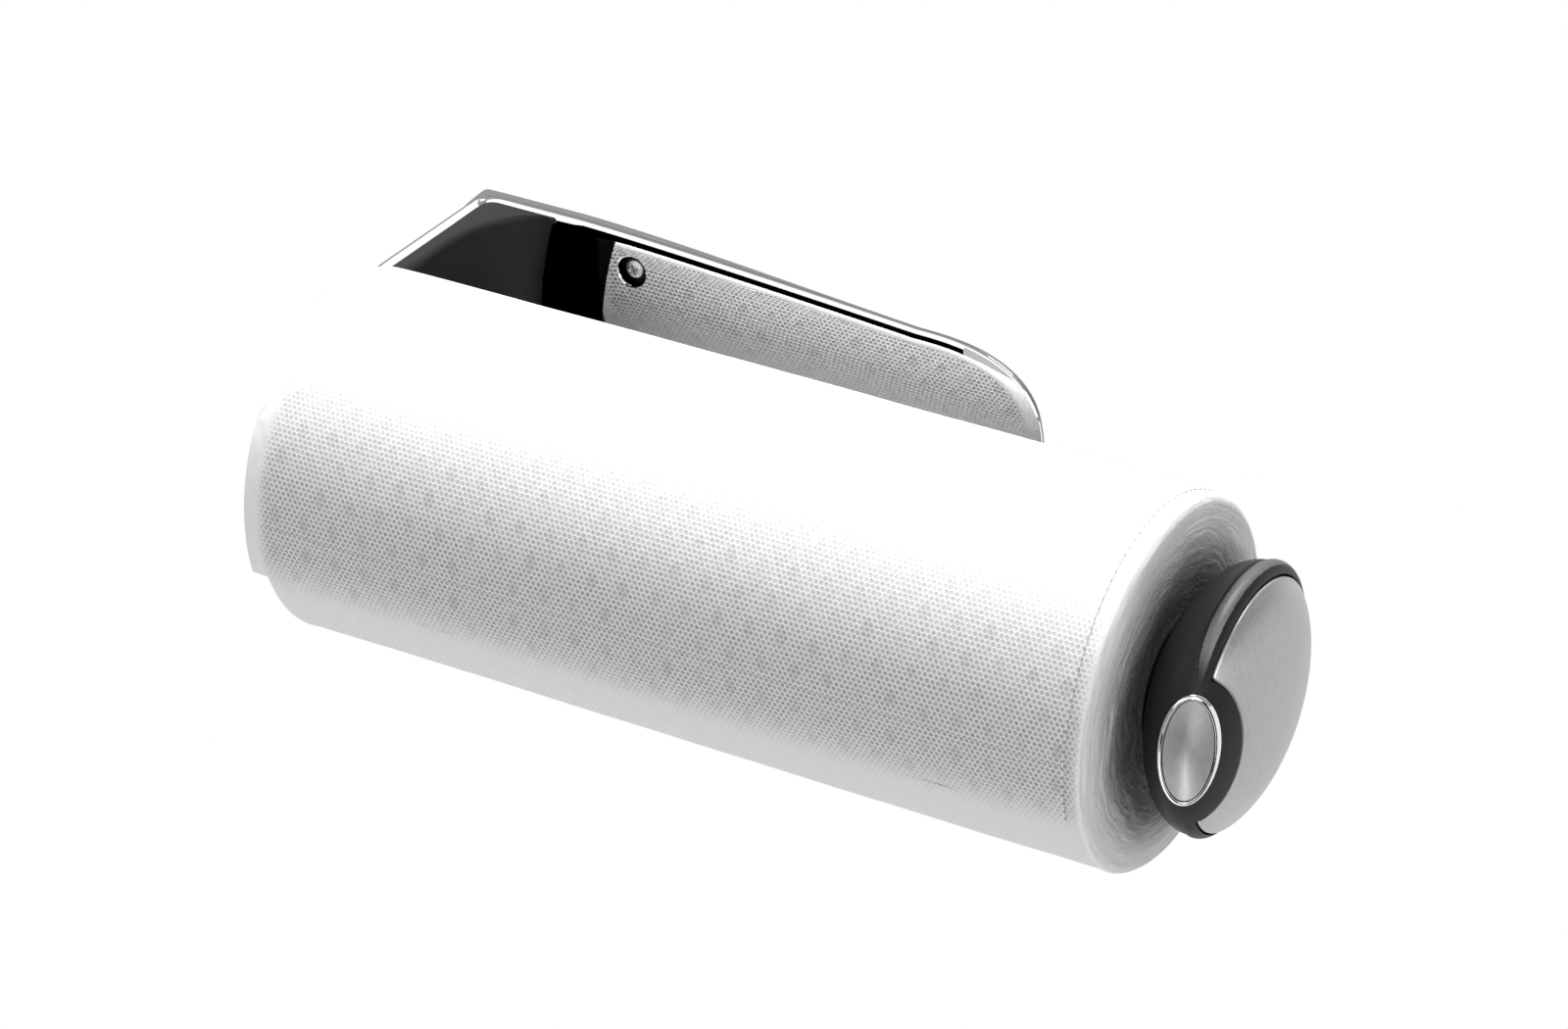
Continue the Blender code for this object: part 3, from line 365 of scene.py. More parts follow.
def paper_end(name):
    """End of the roll: the edges of the wound turns, wavy, and closer by the core, where painted shade
    makes the face darker.
    """
    n = Nodes(name)
    at = n.add("ShaderNodeTexCoord").outputs["Object"]
    outward = n.vector("MULTIPLY", n.vector("SUBTRACT", at, (0, AXIS_Y, 0)), (0, 1, 1))
    radial = n.vector("LENGTH", outward)
    warp = n.math("SUBTRACT", n.noise(at, 60, 3.0), 0.5)
    fine = n.math("SUBTRACT", n.noise(at, 380, 3.0, 0.65), 0.5)
    inward = n.step(radial, 0.053, 0.030)
    bent = n.math("ADD", radial, n.math("MULTIPLY", warp, n.math("MULTIPLY", inward, 0.014)))
    bent = n.math("ADD", bent, n.math("MULTIPLY", fine, 0.0016))
    # uneven turns: noise along the radius, drawn out round the axis
    round_at = n.vector("MULTIPLY", n.vector("NORMALIZE", outward), (0, 2.2, 2.2))
    lead = n.add("ShaderNodeCombineXYZ")
    n.link(n.math("MULTIPLY", bent, 1150.0), lead.inputs[0])
    turns = n.step(n.noise(n.vector("ADD", lead.outputs[0], round_at), 1.0, 4.0, 0.8), 0.38, 0.62)
    grain = n.noise(at, 1500, 3.0, 0.75)
    # dark lines between the turns, which painted shade makes stronger towards the core
    lines = n.math("MULTIPLY", n.math("SUBTRACT", 1.0, turns), n.step(radial, 0.054, 0.036, 0.05, 1.0))
    lines = n.math("MULTIPLY", lines, n.step(grain, 0.25, 0.7, 0.35, 1.0))
    # painted shade: the face darkens towards the core
    tone = n.mix(inward, (0.80, 0.81, 0.81), (0.36, 0.37, 0.37))
    n.set(Base_Color=n.mix(lines, tone, grey(0.09)), Roughness=0.97)
    n.bsdf.inputs["Specular IOR Level"].default_value = 0.1
    height = n.math("ADD", n.math("MULTIPLY", turns, 0.7), n.math("MULTIPLY", grain, 0.6))
    n.bump(height, 0.4 * MM, 0.9)
    return n.mat


# ---------------------------------------------------------------- mesh helpers
def piece(name, bm, body, nodes, material, smooth=30, at=(0, 0, 0)):
    """Make an object from a bmesh, with its vertices in the frame, and tie it to the frame."""
    bmesh.ops.remove_doubles(bm, verts=bm.verts, dist=1e-7)
    bmesh.ops.recalc_face_normals(bm, faces=bm.faces)
    bmesh.ops.translate(bm, verts=bm.verts, vec=at)
    for face in bm.faces:
        face.smooth = True
    for edge in bm.edges:
        if len(edge.link_faces) == 2 and edge.calc_face_angle(0) > math.radians(smooth):
            edge.smooth = False
    mesh = bpy.data.meshes.new(name)
    bm.to_mesh(mesh)
    bm.free()
    obj = bpy.data.objects.new(name, mesh)
    bpy.context.scene.collection.objects.link(obj)
    if material is not None:
        for one in material if isinstance(material, list) else [material]:
            mesh.materials.append(one)
        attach(obj, body)
        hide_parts(*nodes)
    return obj


def add_rings(bm, rings, closed=False):
    """Faces between neighbouring rings, and over both ends unless the rings close on themselves."""
    made = [[bm.verts.new(p) for p in ring] for ring in rings]
    pairs = list(zip(made, made[1:]))
    if closed:
        pairs.append((made[-1], made[0]))
    for a, b in pairs:
        n = max(len(a), len(b))
        if n == 1:
            continue
        for i in range(n):
            j = (i + 1) % n
            if len(a) == 1:
                bm.faces.new((a[0], b[j], b[i]))
            elif len(b) == 1:
                bm.faces.new((a[i], a[j], b[0]))
            else:
                bm.faces.new((a[i], a[j], b[j], b[i]))
    if not closed:
        for ring in (made[0], made[-1]):
            if len(ring) > 1:
                bm.faces.new(ring)


def circle(x, r, segments):
    if r == 0:
        return [Vector((x, 0, 0))]
    step = math.tau / segments
    return [Vector((x, r * math.cos(i * step), r * math.sin(i * step))) for i in range(segments)]


def lathe(profile, segments=128):
    bm = bmesh.new()
    add_rings(bm, [circle(x, r, segments) for x, r in profile], closed=profile[0][1] != 0)
    return bm


def arc(x, r, radius, start, end, steps):
    """Profile points of a corner, centre (x, r), angles in degrees from +x towards +r."""
    return [(x + radius * math.cos(math.radians(start + (end - start) * i / steps)),
             r + radius * math.sin(math.radians(start + (end - start) * i / steps)))
            for i in range(steps + 1)]


def apply_cut(obj, cutters):
    """Cut the cutters away for good, so that the object's mesh is the final one."""
    for cutter in cutters:
        mod = obj.modifiers.new("cut", "BOOLEAN")
        mod.object, mod.operation, mod.solver = cutter, "DIFFERENCE", "EXACT"
    graph = bpy.context.evaluated_depsgraph_get()
    mesh = bpy.data.meshes.new_from_object(obj.evaluated_get(graph))
    obj.modifiers.clear()
    old = obj.data
    obj.data = mesh
    bpy.data.meshes.remove(old)
    for cutter in cutters:
        bpy.data.objects.remove(cutter)


def resmooth(obj, degrees):
    for poly in obj.data.polygons:
        poly.use_smooth = True
    obj.data.set_sharp_from_angle(angle=math.radians(degrees))


def tool(name, bm, at=(0, 0, 0)):
    """A cutter, which isn't tied to the frame because apply_cut uses it up."""
    return piece(name, bm, None, (), None, at=at)


# ---------------------------------------------------------------- bracket
def top_edge(x):
    """Half the height of the wall strip at x."""
    if x >= 0:
        return NOSE_H * max(0.0, 1 - (x / NOSE_X) ** NOSE_POWER) ** (1 / NOSE_POWER)
    if x <= TAPER_X:
        return HALF_H
    return NOSE_H + (HALF_H - NOSE_H) * (1 - (1 - x / TAPER_X) ** TAPER_POWER)


def flat_strip(end_points, closing, layers):
    """Strip before it is bent: its outline inset layer by layer, each an (inset, thickness place)."""
    half = []
    steps, power = 40, 2 / NOSE_POWER
    for i in range(1, steps + 1):
        a = i / steps * math.pi / 2
        half.append((-NOSE_X * math.cos(a) ** power, NOSE_H * math.sin(a) ** power))
    for i in range(1, steps + 1):
        x = TAPER_X * i / steps
        half.append((-x, top_edge(x)))
    half += end_points
    outline = [(-NOSE_X, 0.0)] + half + closing + [(u, -z) for u, z in reversed(half)]
    n = len(outline)
    normals = []
    for i in range(n):
        p, q, r = (Vector(outline[(i + k) % n]) for k in (-1, 0, 1))
        a, b = (q - p).normalized(), (r - q).normalized()
        na, nb = Vector((a.y, -a.x)), Vector((b.y, -b.x))
        normals.append((na + nb) / (1 + na.dot(nb)))
    bm = bmesh.new()
    add_rings(bm, [[(u + inset(u) * m.x, t, z + inset(u) * m.y)
                    for (u, z), m in zip(outline, normals)] for inset, t in layers])
    return bm


def bevel_inset(width):
    """Inset of the outline, which gets narrower round the bend."""
    return lambda u: width * (1 - (1 - ARM_INSET) * min(1.0, max(0.0, (u + BEND_X) / BEND_LEN)))


def plate_inset(extra=0.0):
    def inset(u):
        s = min(1.0, max(0.0, 1 + u / TAPER_X))
        return PLATE_INSET + extra + (PLATE_NOSE_INSET - PLATE_INSET) * s * s * (3 - 2 * s)
    return inset


def bend_strip(bm, place, stations):
    """Cut the flat strip across at the stations, then move its points to their bent places."""
    for u in stations:
        bmesh.ops.bisect_plane(bm, geom=bm.verts[:] + bm.edges[:] + bm.faces[:],
                               plane_co=(u, 0, 0), plane_no=(1, 0, 0))
    for v in bm.verts:
        v.co.x, v.co.y = place(v.co.x, v.co.y)


def band_place(u, t):
    """Bent place of u along the strip and t, the depth from the band's face."""
    r = BEND_IN + t
    along = u + BEND_X
    if along <= 0:
        return -u, BAND_FRONT + t
    if along < BEND_LEN:
        a = along / BEND_LEN * math.pi / 2
        return BEND_X - r * math.sin(a), BEND_Y + r * math.cos(a)
    return BEND_X - r, BEND_Y - (along - BEND_LEN)


def plate_place(u, t):
    """t = 0 follows the band's outside, t = 1 is the square wall side."""
    r = BEND_IN + BAND_T + GAP
    along = u + BEND_X
    slope = (LIP_END_X - LIP_X) / LIP_Y
    if along <= 0:
        return -u, -PLATE_T * (1 - t)
    if along < BEND_LEN:
        a = along / BEND_LEN * math.pi / 2
        side = (math.sin(a) + slope * math.cos(a)) / (BEND_X - LIP_X - slope * BEND_Y)
        wall = math.cos(a) / -BEND_Y
        reach = (max(side, 0.0) ** LIP_SOFTEN + wall ** LIP_SOFTEN) ** (-1 / LIP_SOFTEN)
        r += (reach - r) * t
        return BEND_X - r * math.sin(a), BEND_Y + r * math.cos(a)
    y = BEND_Y - (along - BEND_LEN)
    r += (BEND_X - LIP_X - slope * y - r) * t
    return BEND_X - r, y


def bend_stations(count):
    corner = math.atan2(BEND_X - LIP_X, -BEND_Y) / (math.pi / 2)
    return [-BEND_X + BEND_LEN * k for k in sorted([i / count for i in range(count + 1)] + [corner])]


def turned(spot, y_profile, segments=64):
    """Cutter or piece turned about a line along Y through the spot (x, z)."""
    x, z = spot
    angles = [k * math.tau / segments for k in range(segments)]
    bm = bmesh.new()
    rings = []
    for y, r in y_profile:
        if r == 0:
            rings.append([(x, y, z)])
            continue
        rings.append([(x + r * math.cos(a), y, z + r * math.sin(a)) for a in angles])
    add_rings(bm, rings)
    return bm


def band_layers():
    """The band from its back to its face: a rounded edge, then the bevel."""
    thick = BAND_T / MM
    edge = [(0.5, thick), (0.15, thick - 0.1), (0.0, thick - 0.25)]
    for degrees in range(85, 29, -5):
        a = math.radians(degrees)
        drop = math.cos(math.radians(30)) - math.cos(a)
        edge.append((EDGE_R * (1 - math.sin(a)), BEVEL_DEEP + EDGE_R * drop))
    return [(bevel_inset(inset * MM), depth * MM) for inset, depth in edge + BEVEL]


def make_band(satin):
    arm_u = -BEND_X + BEND_LEN + (BEND_Y - ARM_TAPER_Y)
    steps = 40
    arm_round = [(arm_u + ARM_NOSE * math.sin(i / steps * math.pi / 2),
                  HALF_H * math.cos(i / steps * math.pi / 2)) for i in range(steps)]
    bm = flat_strip(arm_round, [(arm_u + ARM_NOSE, 0.0)], band_layers())
    for face in bm.faces:
        face.material_index = 1 if face.calc_center_median().y > RIM_DEEP else 0
    bend_strip(bm, band_place, bend_stations(24))
    band = piece("polished_band", bm, "bracket", ["bracket_band"],
                 [mirror_steel("mirror_steel", recesses=True), satin])
    lead = RECESS_LEAD
    profile = [(BAND_FRONT - MM, RECESS_R + lead + MM), (BAND_FRONT, RECESS_R + lead),
               (BAND_FRONT + lead * 0.35, RECESS_R + lead * 0.35), (BAND_FRONT + lead, RECESS_R),
               (-PLATE_T, RECESS_R)]
    apply_cut(band, [tool("recess", turned(spot, profile)) for spot in SCREW_SPOTS])
    resmooth(band, 28)


def make_plate(satin):
    lip_u = -BEND_X + BEND_LEN + (BEND_Y - LIP_Y)
    full, soft = plate_inset(), plate_inset(0.4 * MM)
    bm = flat_strip([(lip_u, HALF_H)], [], [(soft, 0.0), (full, 0.12), (full, 0.88), (soft, 1.0)])
    bend_strip(bm, plate_place, bend_stations(24))
    plate = piece("back_plate", bm, "bracket", ["wall_plate"], satin)
    profile = [(-PLATE_T - MM, SHANK_R + GAP), (MM, SHANK_R + GAP)]
    apply_cut(plate, [tool("hole", turned(spot, profile)) for spot in SCREW_SPOTS])
    resmooth(plate, 28)


def screw_profile(y0):
    """A domed head in front of y0, a plain shank, a thread and a point."""
    plain, length, tip, core, pitch = 4 * MM, 13.6 * MM, 1.9 * MM, 1.35 * MM, 1.5 * MM
    rim = 0.2 * MM
    profile = [(y0 - HEAD_H, 0.0)]
    for degrees in range(90, 0, -9):
        a = math.radians(degrees)
        profile.append((y0 - HEAD_H * math.sin(a), HEAD_R * (0.28 + 0.72 * math.cos(a) ** 0.8)))
    profile += [(y0 - rim, HEAD_R), (y0, HEAD_R - rim), (y0, SHANK_R), (y0 + plain - 0.4 * MM, SHANK_R)]
    for i in range(int((length - plain) / pitch)):
        y = y0 + plain + i * pitch
        profile += [(y, core), (y + pitch * 0.4, core), (y + pitch * 0.5, SHANK_R), (y + pitch * 0.6, core)]
    return profile + [(y0 + length, core * 0.8), (y0 + length + tip, 0.0)]


def cross_recess(spot, y0):
    """Cutter for the cross in the head at y0, tapering inwards."""
    size, thin, turn = 2.1 * MM, 0.45 * MM, math.radians(22)
    arm = [(-size, -thin), (-thin, -thin), (-thin, -size), (thin, -size), (thin, -thin), (size, -thin),
           (size, thin), (thin, thin), (thin, size), (-thin, size), (-thin, thin), (-size, thin)]
    rings = []
    for y, scale in ((y0 - HEAD_H - MM, 1.1), (y0 - HEAD_H * 0.25, 0.5)):
        rings.append([(spot[0] + scale * (p * math.cos(turn) - q * math.sin(turn)), y,
                       spot[1] + scale * (p * math.sin(turn) + q * math.cos(turn))) for p, q in arm])
    bm = bmesh.new()
    add_rings(bm, rings)
    return tool("cross", bm)


def make_wall_screws(material):
    y0 = -PLATE_T - GAP
    profile = screw_profile(y0)
    for number, spot in enumerate(SCREW_SPOTS, 1):
        screw = piece(f"wall_screw_turned_{number}", turned(spot, profile, 40), "bracket",
                      [f"wall_screw_{number}"], material)
        apply_cut(screw, [cross_recess(spot, y0)])
        resmooth(screw, 35)


def liner_ring(z):
    """Section of the liner at height z: in along the arm, round the bend, and out over the fillet."""
    at = abs(z)
    ease = max(0.0, at - (LINER_HALF - LINER_ROUND)) / LINER_ROUND
    pull = LINER_ROUND * (1 - math.sqrt(max(0.0, 1 - ease * ease)))
    face_x = LINER_FACE_X - pull
    toe_x = LINER_TOE_X + LINER_TOE_SWEEP * (z / LINER_HALF) ** 2 - pull
    plate_y = BAND_FRONT - GAP * 0.5
    toe_y = plate_y - LINER_TOE_T
    end_y = ARM_TAPER_Y - (ARM_NOSE - 0.7 * MM) * math.sqrt(max(0.0, 1 - (z / LINER_HALF) ** 2))
    back_x = ARM_INNER_X + GAP * 0.5
    points = [(back_x, end_y)]
    r = BEND_IN - GAP * 0.5
    for i in range(13):
        a = i / 12 * math.pi / 2
        points.append((BEND_X - r * math.cos(a), BEND_Y + r * math.sin(a)))
    points.append((toe_x, plate_y))
    for i in range(37):
        a = i / 36 * math.pi / 2
        points.append((toe_x - (toe_x - face_x) * math.sin(a), toe_y - FILLET_DROP * (1 - math.cos(a))))
    for i in range(9):
        a = i / 8 * math.pi / 2
        points.append((face_x - LINER_ROUND * (1 - math.cos(a)), end_y + LINER_ROUND * (1 - math.sin(a))))
    return [(x, y, z) for x, y in points]


def make_liner(material):
    steps = 110
    heights = [LINER_HALF * math.sin(math.pi * (i / steps - 0.5)) for i in range(steps + 1)]
    bm = bmesh.new()
    add_rings(bm, [liner_ring(z) for z in heights])
    liner = piece("liner_cover", bm, "bracket", ["arm_liner"], material, smooth=32)
    deep = ARM_INNER_X + FLANGE_T + 2 * GAP + FLANGE_SCREW_H
    pocket = lathe([(ARM_INNER_X - MM, 0), (ARM_INNER_X - MM, FLANGE_R + GAP), (deep, FLANGE_R + GAP),
                    (deep, ROD_R + GAP), (LINER_FACE_X + MM, ROD_R + GAP), (LINER_FACE_X + MM, 0)])
    apply_cut(liner, [tool("pocket", pocket, (0, AXIS_Y, 0))])
    resmooth(liner, 32)


# ---------------------------------------------------------------- paper roll
def roll_waviness(a, x):
    """Slight unevenness of wound tissue."""
    p = Vector((x * 9, math.cos(a) * 0.9, math.sin(a) * 0.9))
    return 0.35 * MM * noise.noise(p) + 0.15 * MM * noise.noise(p * 4)


def sheet_uv(bm):
    """UVs in millimetres, across the sheet and round the roll."""
    layer = bm.loops.layers.uv.new("sheet")
    for face in bm.faces:
        angles = [math.atan2(loop.vert.co.z, loop.vert.co.y) for loop in face.loops]
        base = angles[0]
        for loop, a in zip(face.loops, angles):
            a = base + math.remainder(a - base, math.tau)
            loop[layer].uv = (loop.vert.co.x / MM, ROLL_R * a / MM)


def wound_profile(inner, outer):
    """Half section of the wound paper, from the core over the left end to the right end."""
    h = ROLL_HALF
    rows, across, reach = 30, 60, outer - ROLL_EDGE - inner
    corner = arc(h - ROLL_EDGE, outer - ROLL_EDGE, ROLL_EDGE, 0, 90, 8)
    profile = [(-h, inner + reach * i / rows) for i in range(rows)]
    profile += [(-x, r) for x, r in corner]
    profile += [(-h + ROLL_EDGE + 2 * (h - ROLL_EDGE) * i / across, outer) for i in range(1, across)]
    profile += reversed(corner)
    profile += [(h, inner + reach * i / rows) for i in range(rows - 1, -1, -1)]
    return profile


def make_wound_paper(paper_mat, end_mat, at):
    inner, outer = CORE_R_OUT + 0.15 * MM, ROLL_R - SHEET_T - 0.1 * MM
    flat_end = ROLL_HALF - 1e-9
    segments = 220
    rings = []
    for x, r in wound_profile(inner, outer):
        ring = []
        for k in range(segments):
            a = math.tau * k / segments
            wave = roll_waviness(a, x) * min(1.0, (r - inner) / (10 * MM)) - 0.3 * MM * (r >= outer - 1e-9)
            px = x
            if abs(x) > flat_end and r > inner + MM:
                ripple = noise.noise(Vector((math.cos(a) * 3, math.sin(a) * 3, r * 700)))
                px -= math.copysign((0.15 + 0.35 * abs(ripple)) * MM, x)
            ring.append((px, (r + wave) * math.cos(a), (r + wave) * math.sin(a)))
        rings.append(ring)
    bm = bmesh.new()
    add_rings(bm, rings, closed=True)
    for face in bm.faces:
        if abs(face.calc_center_median().x) > ROLL_HALF - ROLL_EDGE * 0.45:
            face.material_index = 1
    sheet_uv(bm)
    piece("wound_paper", bm, "roll", ["paper_roll"], [paper_mat, end_mat], smooth=50, at=at)


def sheet_point(s, t, low):
    """Place on the last turn, s along it from the free end and t across it, low its plain radius."""
    shift = SHEET_SHIFT * min(1.0, max(0.0, (0.7 - s) / 0.3))
    left, right = -ROLL_HALF + shift, ROLL_HALF - ROLL_EDGE + shift
    x = left + (right - left) * t
    a = SHEET_TAIL - SHEET_SPAN * s
    lift = 0.22 * MM * max(0.0, 1 - s * 18)
    droop = 1.0 * MM * max(0.0, 1 - t * 12) ** 2 + 0.5 * MM * max(0.0, 1 - (1 - t) * 14) ** 2
    r = low + roll_waviness(a, x) - 0.25 * MM + lift - droop * 0.35
    if s == 0:
        a += 0.35 * MM * noise.noise(Vector((x * 400, 3.1, 0))) / ROLL_R
    return x, r * math.cos(a), r * math.sin(a)


def make_last_turn(paper_mat, at):
    """From the roll's free end back under the roll."""
    across, steps = 90, 240
    there = [j / across for j in range(across + 1)]
    back = [1 - t for t in there]
    rings = []
    for i in range(steps + 1):
        s = i / steps
        rings.append([sheet_point(s, t, ROLL_R - SHEET_T) for t in there]
                     + [sheet_point(s, t, ROLL_R) for t in back])
    bm = bmesh.new()
    add_rings(bm, rings)
    sheet_uv(bm)
    piece("last_turn", bm, "roll", ["outer_sheet"], paper_mat, smooth=50, at=at)


def make_roll(paper_mat, end_mat, card_mat):
    at = Vector((0, AXIS_Y, 0))
    make_wound_paper(paper_mat, end_mat, at)
    make_last_turn(paper_mat, at)
    h = ROLL_HALF
    wall = [(-h, CORE_R_IN), (-h, CORE_R_OUT), (h, CORE_R_OUT), (h, CORE_R_IN)]
    piece("cardboard_core", lathe(wall, 96), "roll", ["core_tube"], card_mat, at=at)


# ---------------------------------------------------------------- knob
def ray_to_oval(start, way, oval, nearest=False):
    """Distance along way from start to an oval (centre and half sizes) of the Y-Z plane, or None."""
    y, z, half_y, half_z = oval
    oy, oz = (start[0] - y) / half_y, (start[1] - z) / half_z
    dy, dz = way[0] / half_y, way[1] / half_z
    a, b, c = dy * dy + dz * dz, oy * dy + oz * dz, oy * oy + oz * oz - 1
    if b * b < a * c:
        return None
    root = math.sqrt(b * b - a * c)
    return (-b - root) / a if nearest else (-b + root) / a


def bead_centre(a):
    """Where the bead's middle runs at angle a: just behind the cap's edge."""
    r = ray_to_oval((0.0, KNOB_UP), (math.cos(a), math.sin(a)), CAP_OUTLINE)
    rest = 1 - (r * math.cos(a) / KNOB_Y) ** 2 - (r * math.sin(a) / KNOB_Z) ** 2
    return KNOB_FRONT * math.sqrt(max(0.0, rest)) - GAP - BEAD_W


def bead_place(p, a):
    """Position across the bead, from -1 to 1, its half width, and its share of the full height."""
    turn = abs(math.remainder(a, math.tau))
    fade = min(1.0, max(0.0, (BEAD_FADE[1] - turn) / (BEAD_FADE[1] - BEAD_FADE[0])))
    fade = fade * (2 - fade)
    width = BEAD_W * (BEAD_THIN + (1 - BEAD_THIN) * fade)
    across = (p.x - bead_centre(a) - (BEAD_W - width) * 0.5) / width
    return across, width, fade * (1 - (1 - BEAD_LOW) * max(0.0, -math.sin(a)) ** 0.5)


def bead_height(p, a):
    """How far the bead stands out of the pebble, or how far the groove beside it goes in."""
    across, width, share = bead_place(p, a)
    beside = (-1 - across) * width / GROOVE_W
    if share > 0 and 0 < beside < 1:
        return -GROOVE_D * share * math.sin(beside * math.pi)
    if abs(across) >= 1 or share <= 0:
        return 0.0
    r = (BEAD_W ** 2 + BEAD_H ** 2) / (2 * BEAD_H)
    return share * (math.sqrt(r * r - (across * BEAD_W) ** 2) - (r - BEAD_H))


def from_to(low, high, count):
    """Even steps from low up to high, without high itself."""
    return [low + (high - low) * i / count for i in range(count)]


def bead_rows(first, segments):
    """Rows of the pebble, closer together where the bead runs."""
    centres = [bead_centre(math.tau * k / segments) for k in range(segments)]
    low = math.acos(-(min(centres) - BEAD_W - GROOVE_W) / KNOB_BACK)
    high = math.acos(-(max(centres) + BEAD_W + 0.1 * MM) / KNOB_FRONT)
    return from_to(first, low, 24) + from_to(low, high, 76) + from_to(high, math.pi, 20)


def pebble(inset=0.0, bead=False, rows=60, segments=160):
    """The knob's rounded solid, flat at the back, smaller by the inset, with or without its bead."""
    first = math.acos(-(KNOB_FLAT + inset) / (KNOB_BACK - inset))
    angles = bead_rows(first, segments) if bead else from_to(first, math.pi, rows)
    rings = []
    for t in angles:
        depth = (KNOB_BACK if math.cos(t) > 0 else KNOB_FRONT) - inset
        half = Vector((depth, KNOB_Y - inset, KNOB_Z - inset))
        ring = []
        for k in range(segments):
            a = math.tau * k / segments
            p = Vector((-half.x * math.cos(t), half.y * math.sin(t) * math.cos(a),
                        half.z * math.sin(t) * math.sin(a)))
            if bead:
                n = Vector((p.x / half.x ** 2, p.y / half.y ** 2, p.z / half.z ** 2)).normalized()
                p += n * bead_height(p, a)
            ring.append(p + Vector((0, 0, KNOB_UP)))
        rings.append(ring)
    rings.append([Vector((KNOB_FRONT - inset, 0, KNOB_UP))])
    bm = bmesh.new()
    add_rings(bm, rings)
    if bead:
        paint_bead(bm)
    return bm


def paint_bead(bm):
    """Second material on the bead."""
    for face in bm.faces:
        c = face.calc_center_median()
        across, _, share = bead_place(c, math.atan2((c.z - KNOB_UP) / KNOB_Z, c.y / KNOB_Y))
        if BEAD_LOOK[0] < across < BEAD_LOOK[1] and share > 0.04 and c.z > BEAD_END_Z:
            face.material_index = 1


def oval_prism(oval, grow, x0, x1):
    """Prism along X on an oval of the Y-Z plane, grown by grow."""
    y, z = oval[:2]
    half_y, half_z = grown(oval[2:], grow)
    angles = [k * math.tau / 160 for k in range(160)]
    outline = [(y + half_y * math.cos(a), z + half_z * math.sin(a)) for a in angles]
    bm = bmesh.new()
    add_rings(bm, [[(x, *point) for point in outline] for x in (x0, x1)])
    return bm


def surface_rise(point):
    """Distance along the button's axis from a point to the pebble's surface."""
    p = Vector(point) - Vector((0, 0, KNOB_UP))
    for depth in (KNOB_BACK, KNOB_FRONT):
        o = Vector((p.x / depth, p.y / KNOB_Y, p.z / KNOB_Z))
        d = Vector((OUT.x / depth, OUT.y / KNOB_Y, OUT.z / KNOB_Z))
        a, b, c = d.dot(d), o.dot(d), o.dot(o) - 1
        rise = (-b + math.sqrt(max(0.0, b * b - a * c))) / a
        if p.x + OUT.x * rise <= 0:
            return rise
    return rise


def oval_ring(half, depth, follow):
    """Oval round the button's axis, at a depth from the pebble's surface (follow 1) or from a plane (0)."""
    ring = []
    for k in range(OVAL_SEGMENTS):
        a = math.tau * k / OVAL_SEGMENTS
        p = BUTTON_AT + SIDE * (half[0] * math.cos(a)) + UP * (half[1] * math.sin(a))
        ring.append(p + OUT * (surface_rise(p) * follow + depth))
    return ring


def grown(half, by):
    """Half sizes of an oval, grown."""
    return half[0] + by, half[1] + by


def cap_outline():
    """Closed outline of the cap in the Y-Z plane: an oval less the bite round the button."""
    middle = Vector((CAP_MIDDLE, KNOB_UP))
    n = 720
    points = []
    for k in range(n):
        a = math.tau * k / n
        way = Vector((math.cos(a), math.sin(a)))
        far = ray_to_oval(middle, way, CAP_OUTLINE)
        near = ray_to_oval(middle, way, BITE, nearest=True)
        if near is not None and 0 < near < far:
            far = near
        points.append(middle + way * far)
    # even spacing, then a light smoothing that rounds the two corners
    lengths = [0.0]
    for i in range(n):
        lengths.append(lengths[-1] + (points[(i + 1) % n] - points[i]).length)
    total, count = lengths[-1], 420
    even, j = [], 0
    for i in range(count):
        want = total * i / count
        while lengths[j + 1] < want:
            j += 1
        f = (want - lengths[j]) / (lengths[j + 1] - lengths[j])
        even.append(points[j % n].lerp(points[(j + 1) % n], f))
    for _ in range(5):
        even = [(even[i - 1] + even[i] * 2 + even[(i + 1) % count]) / 4 for i in range(count)]
    return even, middle


def on_pebble(y, z, sink):
    """Point of the pebble's front over (y, z), sunk along the surface's inward normal."""
    u = 1 - (y / KNOB_Y) ** 2 - ((z - KNOB_UP) / KNOB_Z) ** 2
    x = KNOB_FRONT * math.sqrt(max(u, 1e-6))
    n = Vector((x / KNOB_FRONT ** 2, y / KNOB_Y ** 2, (z - KNOB_UP) / KNOB_Z ** 2)).normalized()
    return Vector((x, y, z)) - n * sink


def make_cap(material, at):
    outline, middle = cap_outline()
    count = len(outline)
    normals = []
    for i in range(count):
        t = (outline[(i + 1) % count] - outline[i - 1]).normalized()
        normals.append(Vector((-t.y, t.x)))

    def rim_ring(inset, sink):
        pts = [p + m * inset for p, m in zip(outline, normals)]
        return [on_pebble(p.x, p.y, sink) for p in pts]

    def inner_ring(f, sink):
        pts = [middle + (p + m * CAP_EDGE - middle) * f for p, m in zip(outline, normals)]
        return [on_pebble(p.x, p.y, sink) for p in pts]

    rings = [rim_ring(0.0, CAP_T)]
    for i in range(8):
        a = i / 7 * math.pi / 2
        rings.append(rim_ring(CAP_EDGE * (1 - math.cos(a)), CAP_EDGE * (1 - math.sin(a))))
    rings += [inner_ring(1 - i / 40, 0.0) for i in range(1, 40)]
    rings += [[on_pebble(*middle, 0.0)], [on_pebble(*middle, CAP_T)]]
    rings += [inner_ring(1 - i / 21, CAP_T) for i in range(20, 0, -1)]
    bm = bmesh.new()
    add_rings(bm, rings, closed=True)
    piece("cap_dome", bm, "knob", ["knob_cap"], material, smooth=50, at=at)


def ring_tool(name, rings, at):
    """Cutter through a row of rings."""
    bm = bmesh.new()
    add_rings(bm, rings)
    return tool(name, bm, at)


